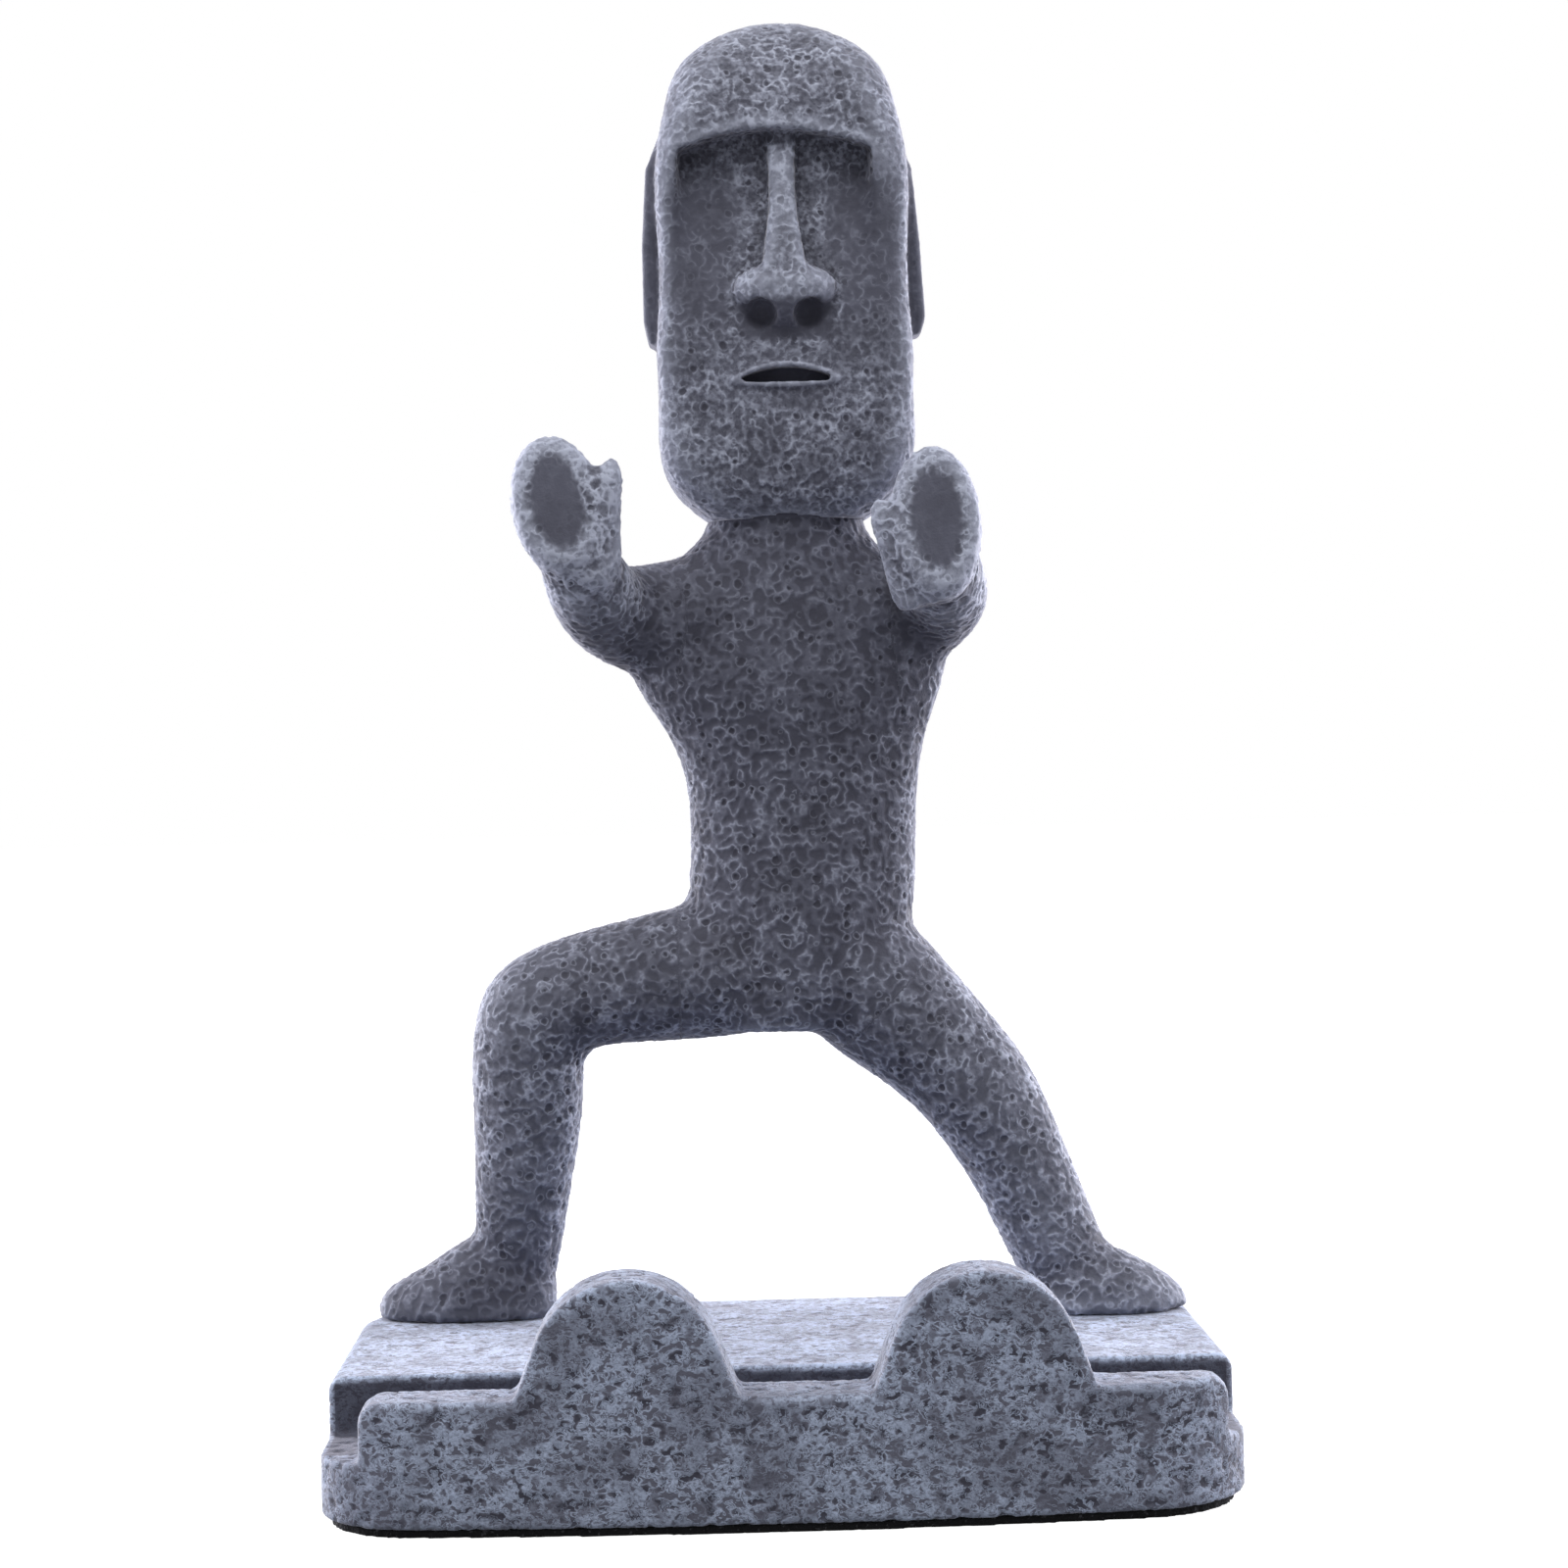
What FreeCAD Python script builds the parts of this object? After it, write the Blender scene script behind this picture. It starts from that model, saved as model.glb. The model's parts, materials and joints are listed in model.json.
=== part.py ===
"""Phone stand in the form of a standing stone figure with a long carved head.

The stand is cast in filled resin. A block carries a slot for the phone's lower edge, a front lip with
two round humps and a platform behind it. The figure stands on the platform in a wide lunge and holds up
both palms, and the phone leans on them. The figure is cast in pieces that are glued together over steel
pins and bent steel rods.

Units are millimetres. The origin is at the centre of the underside, +Z is up and the figure faces -Y,
so its own left hand is on the +X side.
"""

import FreeCAD, Part
import math
import os

import Sketcher

Vector, Rotation, Placement = FreeCAD.Vector, FreeCAD.Rotation, FreeCAD.Placement
ACROSS, BACK, UP = Vector(1, 0, 0), Vector(0, 1, 0), Vector(0, 0, 1)
CORNER_CUT = 1 - 0.5**0.5  # how far in a quarter arc's middle lies from its corner, for a radius of 1

# ------------------------------------------------------------------------------- driving dimensions

SIZES = {
    # base block and its pad
    "base_width": 99.6,
    "base_depth": 68.0,
    "front_bow": 3.0,  # how far the front stands out at its middle
    "front_corner_left": 11.0,
    "front_corner_right": 13.0,
    "back_corner": 11.0,
    "pad_thick": 1.0,
    "pad_inset": 1.0,
    "slot_floor": 7.6,
    "slot_width": 10.5,
    "platform_top": 14.0,
    "lip_thick": 10.0,
    "lip_top": 14.3,
    "lip_left_end": 45.0,
    "lip_right_end": 47.3,
    "lip_end_round": 2.4,
    "hump_radius": 10.2,
    "hump_top": 26.8,
    "hump_half_foot": 11.8,
    "hump_left": 16.6,
    "hump_right": 21.1,
    "rim_round": 1.6,
    # the phone's lean, which sets the plane of both palms
    "lean_angle": 10.0,
    # head: where it sits, and its features measured from its own middle
    "head_x": 3.7,
    "neck_y": 23.0,
    "neck_top": 112.5,
    "cheek_left": 12.9,  # the sunk area under the brow reaches this far to each side
    "cheek_right": 10.9,
    "cheek_low": 122.0,
    "brow_low": 152.3,
    "brow_rise": 2.4,
    "socket_low": 146.5,
    "socket_depth": 3.4,
    "socket_taper": 0.93,  # share of the sunk area that reaches its full depth
    "face_front": 12.6,
    "wing_half": 6.1,
    "wing_front": 3.2,
    "wing_height": 3.1,
    "wing_z": 135.9,
    "nostril": 2.0,
    "nostril_forward": 1.2,
    "nostril_long": 2.4,
    "nostril_apart": 5.7,
    "nose_back": 17.5,
    "nose_round": 0.9,
    "ear_root": 12.0,
    "ear_round": 0.7,
    "mouth_half": 6.3,
    "mouth_low": 124.9,
    "mouth_corner": 0.1,  # how far the corners lie above the lower lip
    "mouth_rise": 1.8,
    "mouth_depth": 1.8,
    "lip_rim": 0.6,
    "lip_proud": 0.8,
    "slit_deep": 5.4,
    # steel pins and rods
    "neck_pin_radius": 1.5,
    "neck_pin_low": 99.0,
    "neck_pin_high": 124.0,
    "arm_pin_radius": 1.0,
    "arm_pin_length": 11.0,
    "rod_radius": 1.25,
    "rod_low": 5.0,
    "leg_right_rod_x": -30.7,
    "leg_right_rod_y": 24.4,
    "leg_left_rod_x": 36.6,
    "leg_left_rod_y": 21.6,
    # where each foot stands
    "foot_right_y": 26.0,
    "foot_left_y": 19.2,
}

# Rings of the trunk: name, x, y and z of the centre, half width, half depth.
TORSO = [
    ("crotch", 2.6, 23.4, 48.2, 9.6, 6.8),
    ("seat", 3.2, 23.4, 52.6, 11.6, 8.6),
    ("pelvis", 4.0, 23.4, 59.0, 13.1, 9.1),
    ("belly", 4.5, 23.2, 66.0, 13.6, 8.6),
    ("waist", 4.8, 23.0, 74.0, 13.6, 8.2),
    ("ribs", 4.4, 22.7, 83.0, 15.2, 8.4),
    ("chest", 3.3, 22.4, 92.0, 19.0, 8.8),
    ("shoulder", 3.2, 22.5, 99.2, 18.2, 8.1),
    ("collar", 3.2, 22.8, 104.0, 13.8, 7.5),
    ("throat", 3.3, 23.0, 107.2, 10.3, 7.3),
    ("neck", 3.5, 23.0, 112.5, 9.6, 7.2),
]

# Rings of each limb: name, x, y and z of the centre, radius.
LIMBS = {
    "leg_right": [
        ("root", -0.8, 23.4, 56.2, 8.0),
        ("hip", -4.4, 23.4, 55.8, 8.2),
        ("groin", -10.8, 23.3, 55.0, 7.9),
        ("thigh", -19.8, 23.2, 53.7, 7.1),
        ("knee", -27.7, 23.3, 50.2, 7.1),
        ("calf", -29.1, 24.0, 42.4, 6.7),
        ("shin", -29.7, 24.9, 33.2, 6.1),
        ("ankle", -30.5, 25.8, 25.2, 5.4),
        ("tuck", -31.2, 26.0, 17.0, 4.0),
    ],
    "leg_left": [
        ("root", 7.4, 23.4, 58.4, 8.4),
        ("hip", 9.9, 23.3, 55.8, 8.6),
        ("groin", 14.5, 23.0, 51.2, 8.4),
        ("thigh", 20.2, 22.2, 45.8, 7.4),
        ("knee", 24.9, 21.4, 40.3, 6.9),
        ("calf", 28.3, 21.0, 34.4, 6.3),
        ("shin", 31.4, 20.6, 27.6, 5.8),
        ("ankle", 34.4, 20.2, 20.6, 5.4),
        ("tuck", 36.3, 20.0, 15.8, 4.2),
    ],
    "arm_right": [
        ("root", -3.0, 22.2, 97.7, 6.6),
        ("shoulder", -11.6, 21.6, 97.7, 7.0),
        ("elbow", -17.1, 18.2, 98.5, 5.8),
        ("forearm", -19.7, 12.4, 101.0, 5.1),
        ("wrist", -21.3, 7.6, 104.9, 4.3),
        ("heel", -22.0, 6.2, 107.7, 3.2),
    ],
    "arm_left": [
        ("root", 10.0, 22.2, 97.4, 6.6),
        ("shoulder", 17.0, 21.6, 97.1, 7.0),
        ("elbow", 21.1, 18.2, 99.2, 5.7),
        ("forearm", 21.7, 12.4, 100.8, 5.0),
        ("wrist", 21.0, 7.6, 103.1, 4.4),
        ("heel", 20.8, 6.2, 105.2, 3.2),
    ],
    "thumb_right": [
        ("root", -20.5, 7.4, 102.1, 3.6),
        ("base", -18.7, 6.6, 106.3, 2.9),
        ("knuckle", -17.8, 6.0, 111.1, 2.1),
        ("pad", -17.0, 5.8, 114.3, 1.5),
        ("tip", -16.6, 5.8, 115.9, 0.6),
    ],
    "thumb_left": [
        ("root", 19.4, 7.2, 99.0, 3.6),
        ("base", 17.0, 6.4, 103.1, 2.9),
        ("knuckle", 15.2, 5.8, 106.7, 2.1),
        ("pad", 14.0, 5.6, 109.0, 1.5),
        ("tip", 13.3, 5.6, 110.3, 0.6),
    ],
}

# Upright rings along each foot, centred on the platform's top: name, x, half width, height.
FEET = {
    "foot_right": [
        ("heel", -26.4, 2.8, 4.4),
        ("back", -28.2, 4.7, 7.6),
        ("ankle", -31.2, 5.6, 9.6),
        ("instep", -36.0, 6.0, 9.8),
        ("arch", -41.0, 5.8, 6.9),
        ("ball", -45.0, 4.3, 4.7),
        ("toe", -47.9, 1.3, 1.4),
    ],
    "foot_left": [
        ("heel", 31.0, 2.8, 4.0),
        ("back", 32.8, 4.7, 6.8),
        ("ankle", 36.0, 5.7, 8.6),
        ("instep", 40.4, 6.0, 7.6),
        ("arch", 44.4, 5.4, 5.6),
        ("ball", 47.4, 3.6, 3.7),
        ("toe", 49.3, 1.3, 1.4),
    ],
}

# Hands: x and z of the palm's centre, half width, half length, tilt of the fingers towards -X.
HANDS = {
    "hand_right": (-23.2, 110.8, 5.4, 8.5, 10.0),
    "hand_left": (20.4, 107.9, 5.3, 9.3, 2.7),
}

# Layers of a hand, from the palm's flat to the knuckles: depth behind the palm's plane, share of the
# full outline.
HAND_LAYERS = [
    ("palm", 0.0, 0.80),
    ("edge", 0.8, 0.93),
    ("middle", 2.6, 1.0),
    ("back", 5.2, 0.86),
    ("knuckle", 7.0, 0.55),
]

# Rounded sections of the head: name, height, half width, front, back, radius of the front and back corners.
HEAD = [
    ("under", 109.2, 9.4, 16.4, 29.0, 4.0, 5.0),
    ("jaw", 111.3, 11.9, 14.0, 31.4, 4.0, 6.0),
    ("chin", 114.8, 14.4, 12.7, 32.8, 3.6, 7.0),
    ("lips", 121.5, 15.1, 12.3, 33.4, 3.2, 7.5),
    ("nose", 131.5, 15.0, 12.6, 33.8, 3.0, 7.5),
    ("cheek", 143.0, 14.8, 12.7, 33.6, 3.0, 7.5),
    ("brow", 152.5, 14.7, 12.2, 33.6, 3.4, 7.5),
    ("temple", 157.0, 13.9, 12.7, 33.4, 4.2, 7.5),
    ("forehead", 161.6, 12.8, 14.4, 32.4, 5.2, 7.2),
    ("crown", 165.3, 10.4, 16.9, 30.4, 5.4, 6.0),
    ("dome", 167.8, 6.1, 19.6, 27.6, 3.6, 3.6),
    ("summit", 168.8, 2.6, 21.8, 25.2, 1.5, 1.5),
]

# Level sections of the nose's ridge: name, height, half width, front. Their backs are buried in the face.
NOSE = [
    ("foot", 131.4, 3.4, 12.0),
    ("bulb", 135.4, 3.0, 9.7),
    ("ridge", 138.2, 2.6, 10.2),
    ("slope", 143.0, 1.9, 11.5),
    ("bridge", 148.6, 1.5, 12.9),
    ("root", 152.4, 1.7, 14.2),
    ("brow", 155.6, 1.9, 14.6),
]

# Level sections of each ear: name, height, outer face, front, back. Their inner sides are buried in the head.
EARS = {
    "ear_right": [
        ("foot", 130.3, 16.1, 18.4, 24.6),
        ("lobe", 133.0, 16.7, 18.2, 24.8),
        ("middle", 142.0, 16.7, 17.8, 24.7),
        ("crest", 151.0, 16.1, 17.4, 24.6),
        ("top", 155.0, 14.4, 17.8, 24.2),
    ],
    "ear_left": [
        ("foot", 130.9, 16.3, 18.4, 24.6),
        ("lobe", 133.0, 16.9, 18.2, 24.8),
        ("middle", 142.0, 16.4, 17.8, 24.7),
        ("crest", 150.6, 15.6, 17.4, 24.6),
        ("top", 154.4, 14.1, 17.8, 24.2),
    ],
}

# Planes where the limbs are glued on: a point of the plane, the direction out of the body, lowest and
# highest z.
GLUE_PLANES = {
    "leg_right": ((-10.6, 23.0, 50.3), (-1.0, 0.0, 0.0), 10.0, 68.0),
    "leg_left": ((14.5, 23.0, 51.7), (1.0, 0.0, -1.0), None, None),
    "arm_right": ((-13.4, 21.05, 97.7), (-0.8, -0.6, 0.0), 80.0, 125.0),
    "arm_left": ((19.8, 20.95, 97.0), (0.8, -0.6, 0.0), 80.0, 125.0),
}

# The two bent rods stand up from the block and end in the pelvis: height of the first bend, x and z of
# the later corners, radius of each bend.
RODS = {
    "leg_right_rod": (38.0, [(-27.7, 51.0), (-2.9, 56.7)], (40.0, 6.0)),
    "leg_left_rod": (17.0, [(25.6, 39.0), (7.1, 57.3)], (8.0, 30.0)),
}


# --------------------------------------------------------------------------------- document helpers


def ring_cells(group, rows, fields):
    """Sheet entries of a table of rings, named group_ring_field."""
    return {f"{group}_{row[0]}_{field}": value for row in rows for field, value in zip(fields, row[1:])}


def all_cells():
    """Every driving dimension by its alias."""
    cells = dict(SIZES)
    cells.update(ring_cells("torso", TORSO, ("x", "y", "z", "wide", "deep")))
    for limb, rings in LIMBS.items():
        cells.update(ring_cells(limb, rings, ("x", "y", "z", "radius")))
    for foot, rings in FEET.items():
        cells.update(ring_cells(foot, rings, ("x", "wide", "tall")))
    for hand, row in HANDS.items():
        cells.update({f"{hand}_{field}": v for field, v in zip(("x", "z", "wide", "long", "tilt"), row)})
    cells.update(ring_cells("head", HEAD, ("z", "half", "front", "back", "front_round", "back_round")))
    cells.update(ring_cells("nose", NOSE, ("z", "half", "front")))
    for ear, levels in EARS.items():
        cells.update(ring_cells(ear, levels, ("z", "outer", "front", "back")))
    return cells


def make_sheet(doc, cells):
    """The spreadsheet that drives the document, one alias a row."""
    sheet = doc.addObject("Spreadsheet::Sheet", "Sizes")
    for row, (alias, value) in enumerate(cells.items(), start=1):
        sheet.set(f"A{row}", alias)
        sheet.set(f"B{row}", str(value))
        sheet.setAlias(f"B{row}", alias)
    doc.recompute()
    return sheet


def bind(thing, **expressions):
    """Bind properties to sheet expressions; two underscores stand for a dot."""
    for name, expression in expressions.items():
        thing.setExpression(name.replace("__", "."), expression)


def place_at(thing, x, y, z, prefix="Placement"):
    """Bind the three coordinates of a placement to expressions."""
    for axis, expression in zip("xyz", (x, y, z)):
        thing.setExpression(f"{prefix}.Base.{axis}", str(expression))


def body_plane(body, role):
    """One of a body's own origin planes, such as XY_Plane."""
    return next(feature for feature in body.Origin.OriginFeatures if feature.Role == role)


def sketch_on(body, name, role, offset=None):
    """A sketch on a body's origin plane, moved along the plane's normal by an expression."""
    sketch = body.newObject("Sketcher::SketchObject", name)
    sketch.AttachmentSupport = [(body_plane(body, role), "")]
    sketch.MapMode = "FlatFace"
    if offset:
        sketch.setExpression("AttachmentOffset.Base.z", offset)
    return sketch


def pin_point(sketch, geometry, point, x, y):
    """Tie a point of a sketch to the origin by two expressions."""
    here = sketch.getPoint(geometry, point)
    for kind, value, expression in (("DistanceX", here.x, x), ("DistanceY", here.y, y)):
        index = sketch.addConstraint(Sketcher.Constraint(kind, -1, 1, geometry, point, value))
        sketch.setExpression(f"Constraints[{index}]", expression)


def join_points(sketch, first, second):
    """Make the end of one edge and the start of the next one point."""
    sketch.addConstraint(Sketcher.Constraint("Coincident", first, 2, second, 1))


def closed_outline(sketch, corners, values):
    """A closed outline of straight edges through corners, each tied to its pair of expressions."""
    count = len(corners)
    for index in range(count):
        start, end = Vector(*values[index], 0), Vector(*values[(index + 1) % count], 0)
        sketch.addGeometry(Part.LineSegment(start, end), False)
    for index in range(count):
        join_points(sketch, index, (index + 1) % count)
    for index, (x, y) in enumerate(corners):
        pin_point(sketch, index, 1, x, y)


# ------------------------------------------------------------------------------------ block and pad


def plan_pad(body, name, inset, floor, height):
    """The block's plan, straight at the back and bowed at the front, raised from floor by height."""
    sketch = sketch_on(body, name + "Plan", "XY_Plane", floor)
    half, back = f"(Sizes.base_width / 2 - {inset})", f"(Sizes.base_depth / 2 - {inset})"
    side_front = f"(-{back} + Sizes.front_bow)"
    wide, deep, bow = SIZES["base_width"] / 2, SIZES["base_depth"] / 2, SIZES["front_bow"]
    left_front, right_front = Vector(-wide, -deep + bow, 0), Vector(wide, -deep + bow, 0)
    left_back, right_back = Vector(-wide, deep, 0), Vector(wide, deep, 0)
    sketch.addGeometry(Part.Arc(left_front, Vector(0, -deep, 0), right_front), False)
    sketch.addGeometry(Part.LineSegment(right_front, right_back), False)
    sketch.addGeometry(Part.LineSegment(right_back, left_back), False)
    sketch.addGeometry(Part.LineSegment(left_back, left_front), False)
    for first, second in ((0, 1), (1, 2), (2, 3), (3, 0)):
        join_points(sketch, first, second)
    pin_point(sketch, 1, 1, half, side_front)
    pin_point(sketch, 2, 1, half, back)
    pin_point(sketch, 3, 1, f"-{half}", back)
    pin_point(sketch, 0, 1, f"-{half}", side_front)
    radius = sketch.addConstraint(Sketcher.Constraint("Radius", 0, sketch.Geometry[0].Radius))
    sketch.setExpression(f"Constraints[{radius}]", f"(Sizes.front_bow^2 + {half}^2) / (2 * Sizes.front_bow)")
    pad = body.newObject("PartDesign::Pad", name + "Pad")
    pad.Profile = sketch
    bind(pad, Length=height)
    body.Document.recompute()
    return pad


def edges_where(feature, wanted):
    """Names of a feature's edges whose own shape passes a test."""
    return [f"Edge{index}" for index, edge in enumerate(feature.Shape.Edges, start=1) if wanted(edge)]


def upright(edge):
    """Whether an edge runs straight up."""
    first, last = edge.Vertexes[0].Point, edge.Vertexes[-1].Point
    return abs(first.x - last.x) < 1e-6 and abs(first.y - last.y) < 1e-6 and abs(first.z - last.z) > 1e-3


def fillet(body, name, base, edges, radius):
    """Round some edges of a feature by an expression."""
    rounding = body.newObject("PartDesign::Fillet", name)
    rounding.Base = (base, edges)
    bind(rounding, Radius=radius)
    body.Document.recompute()
    return rounding


def round_corners(body, name, pad, inset):
    """Round the plan's front and back corners."""
    def front_corner(edge, side):
        return upright(edge) and edge.CenterOfMass.y < 0 and edge.CenterOfMass.x * side > 0

    left = edges_where(pad, lambda edge: front_corner(edge, -1))
    rounded = fillet(body, name + "LeftCorner", pad, left, f"Sizes.front_corner_left - {inset}")
    right = edges_where(rounded, lambda edge: front_corner(edge, 1))
    rounded = fillet(body, name + "RightCorner", rounded, right, f"Sizes.front_corner_right - {inset}")
    back = edges_where(rounded, lambda edge: upright(edge) and edge.CenterOfMass.y > SIZES["base_depth"] / 3)
    return fillet(body, name + "BackCorners", rounded, back, f"Sizes.back_corner - {inset}")


def make_non_slip_pad(doc):
    """Thin foam pad stuck under the block."""
    body = doc.addObject("PartDesign::Body", "non_slip_pad")
    pad = plan_pad(body, "Foam", "Sizes.pad_inset", "0", "Sizes.pad_thick")
    round_corners(body, "Foam", pad, "Sizes.pad_inset")
    return body


def cut_platform_and_slot(body):
    """Clear the block above the platform and sink the slot behind the lip."""
    sketch = sketch_on(body, "PlatformProfile", "YZ_Plane")
    lip_back = "(-Sizes.base_depth / 2 + Sizes.lip_thick)"
    edge = f"({lip_back} + Sizes.slot_width)"
    beyond, above = "Sizes.base_depth", "Sizes.hump_top + Sizes.platform_top"
    y_lip = -SIZES["base_depth"] / 2 + SIZES["lip_thick"]
    y_edge, y_beyond = y_lip + SIZES["slot_width"], SIZES["base_depth"]
    z_above = SIZES["hump_top"] + SIZES["platform_top"]
    corners = [(lip_back, "Sizes.slot_floor"), (edge, "Sizes.slot_floor"), (edge, "Sizes.platform_top")]
    corners += [(beyond, "Sizes.platform_top"), (beyond, above), (lip_back, above)]
    values = [(y_lip, SIZES["slot_floor"]), (y_edge, SIZES["slot_floor"]), (y_edge, SIZES["platform_top"])]
    values += [(y_beyond, SIZES["platform_top"]), (y_beyond, z_above), (y_lip, z_above)]
    closed_outline(sketch, corners, values)
    pocket = body.newObject("PartDesign::Pocket", "PlatformAndSlot")
    pocket.Profile = sketch
    pocket.Midplane = True
    bind(pocket, Length="Sizes.base_width * 2")
    body.Document.recompute()
    return pocket


def hump_edges(sketch, centre, x):
    """Straight flanks and round top of one hump. Returns the edges in order from the left."""
    radius, foot, low = SIZES["hump_radius"], SIZES["hump_half_foot"], SIZES["lip_top"]
    high = SIZES["hump_top"] - radius
    left_foot, right_foot = Vector(x - foot, low, 0), Vector(x + foot, low, 0)
    left_top, right_top = Vector(x - radius, high, 0), Vector(x + radius, high, 0)
    left = sketch.addGeometry(Part.LineSegment(left_foot, left_top), False)
    arc = sketch.addGeometry(Part.Arc(right_top, Vector(x, high + radius, 0), left_top), False)
    right = sketch.addGeometry(Part.LineSegment(right_top, right_foot), False)
    sketch.addConstraint(Sketcher.Constraint("Tangent", left, 2, arc, 2))
    sketch.addConstraint(Sketcher.Constraint("Tangent", arc, 1, right, 1))
    pin_point(sketch, arc, 3, centre, "Sizes.hump_top - Sizes.hump_radius")
    index = sketch.addConstraint(Sketcher.Constraint("Radius", arc, radius))
    sketch.setExpression(f"Constraints[{index}]", "Sizes.hump_radius")
    pin_point(sketch, left, 1, f"{centre} - Sizes.hump_half_foot", "Sizes.lip_top")
    pin_point(sketch, right, 2, f"{centre} + Sizes.hump_half_foot", "Sizes.lip_top")
    return left, arc, right


def line_between(sketch, first, second):
    """A straight edge between two named points, each (geometry, point), joined at both ends."""
    start, end = sketch.getPoint(*first), sketch.getPoint(*second)
    line = sketch.addGeometry(Part.LineSegment(start, end), False)
    sketch.addConstraint(Sketcher.Constraint("Coincident", line, 1, *first))
    sketch.addConstraint(Sketcher.Constraint("Coincident", line, 2, *second))
    return line


def lip_end(sketch, side, reach, x):
    """Rounded end of the lip, down to the slot's floor. Returns its top and lower points."""
    radius, top, floor = SIZES["lip_end_round"], SIZES["lip_top"], SIZES["slot_floor"]
    inner, outer = Vector(side * (x - radius), top, 0), Vector(side * x, top - radius, 0)
    middle = Vector(side * (x - radius * CORNER_CUT), top - radius * CORNER_CUT, 0)
    ends = (outer, inner) if side > 0 else (inner, outer)
    arc = sketch.addGeometry(Part.Arc(ends[0], middle, ends[1]), False)
    inner_point, outer_point = ((arc, 2), (arc, 1)) if side > 0 else ((arc, 1), (arc, 2))
    sign = "" if side > 0 else "-"
    pin_point(sketch, *inner_point, f"{sign}({reach} - Sizes.lip_end_round)", "Sizes.lip_top")
    pin_point(sketch, *outer_point, f"{sign}({reach})", "Sizes.lip_top - Sizes.lip_end_round")
    index = sketch.addConstraint(Sketcher.Constraint("Radius", arc, radius))
    sketch.setExpression(f"Constraints[{index}]", "Sizes.lip_end_round")
    down = sketch.addGeometry(Part.LineSegment(outer, Vector(side * x, floor, 0)), False)
    sketch.addConstraint(Sketcher.Constraint("Coincident", down, 1, *outer_point))
    pin_point(sketch, down, 2, f"{sign}({reach})", "Sizes.slot_floor")
    return inner_point, (down, 2)


def cut_lip_outline(body):
    """Clear the front of the block above the lip and its two humps."""
    sketch = sketch_on(body, "LipOutline", "XZ_Plane", "Sizes.base_depth / 2 - Sizes.lip_thick")
    left_hump = hump_edges(sketch, "-Sizes.hump_left", -SIZES["hump_left"])
    right_hump = hump_edges(sketch, "Sizes.hump_right", SIZES["hump_right"])
    left_inner, left_low = lip_end(sketch, -1, "Sizes.lip_left_end", SIZES["lip_left_end"])
    right_inner, right_low = lip_end(sketch, 1, "Sizes.lip_right_end", SIZES["lip_right_end"])
    line_between(sketch, left_inner, (left_hump[0], 1))
    line_between(sketch, (left_hump[2], 2), (right_hump[0], 1))
    line_between(sketch, (right_hump[2], 2), right_inner)
    wide, floor, above = SIZES["base_width"], SIZES["slot_floor"], SIZES["hump_top"] + SIZES["platform_top"]
    around = [sketch.getPoint(*right_low), Vector(wide, floor, 0), Vector(wide, above, 0)]
    around += [Vector(-wide, above, 0), Vector(-wide, floor, 0), sketch.getPoint(*left_low)]
    lines = [sketch.addGeometry(Part.LineSegment(*ends), False) for ends in zip(around, around[1:])]
    sketch.addConstraint(Sketcher.Constraint("Coincident", *right_low, lines[0], 1))
    for first, second in zip(lines, lines[1:]):
        join_points(sketch, first, second)
    sketch.addConstraint(Sketcher.Constraint("Coincident", lines[-1], 2, *left_low))
    pin_point(sketch, lines[1], 1, "Sizes.base_width", "Sizes.slot_floor")
    pin_point(sketch, lines[2], 1, "Sizes.base_width", "Sizes.hump_top + Sizes.platform_top")
    pin_point(sketch, lines[3], 1, "-Sizes.base_width", "Sizes.hump_top + Sizes.platform_top")
    pin_point(sketch, lines[4], 1, "-Sizes.base_width", "Sizes.slot_floor")
    pocket = body.newObject("PartDesign::Pocket", "LipAndHumps")
    pocket.Profile = sketch
    pocket.Reversed = True
    bind(pocket, Length="Sizes.lip_thick + Sizes.slot_width")
    body.Document.recompute()
    return pocket


def round_platform_rim(body, cut):
    """Round the platform's rim at its sides and back."""
    top, half = SIZES["platform_top"], SIZES["base_width"] / 2

    def on_side(edge):
        middle = edge.CenterOfMass
        return abs(middle.z - top) < 1e-6 and abs(abs(middle.x) - half) < 1e-6

    fillet(body, "PlatformRim", cut, edges_where(cut, on_side), "Sizes.rim_round")


def cut_rod_holes(body):
    """Blind holes in the platform for the two leg rods."""
    sketch = sketch_on(body, "RodHoles", "XY_Plane", "Sizes.platform_top")
    for name in RODS:
        centre = Vector(SIZES[name + "_x"], SIZES[name + "_y"], 0)
        circle = sketch.addGeometry(Part.Circle(centre, UP, SIZES["rod_radius"]), False)
        pin_point(sketch, circle, 3, f"Sizes.{name}_x", f"Sizes.{name}_y")
        index = sketch.addConstraint(Sketcher.Constraint("Radius", circle, SIZES["rod_radius"]))
        sketch.setExpression(f"Constraints[{index}]", "Sizes.rod_radius")
    pocket = body.newObject("PartDesign::Pocket", "RodHolesCut")
    pocket.Profile = sketch
    bind(pocket, Length="Sizes.platform_top - Sizes.rod_low")
    body.Document.recompute()
    return pocket


def make_base_block(doc):
    """Cast block with the slot, the lip and its two humps, and the platform."""
    body = doc.addObject("PartDesign::Body", "base_block")
    pad = plan_pad(body, "Block", "0", "Sizes.pad_thick", "Sizes.hump_top - Sizes.pad_thick")
    round_corners(body, "Block", pad, "0")
    cut_platform_and_slot(body)
    round_platform_rim(body, cut_lip_outline(body))
    cut_rod_holes(body)
    return body


# --------------------------------------------------------------------------------------------- head


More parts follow.
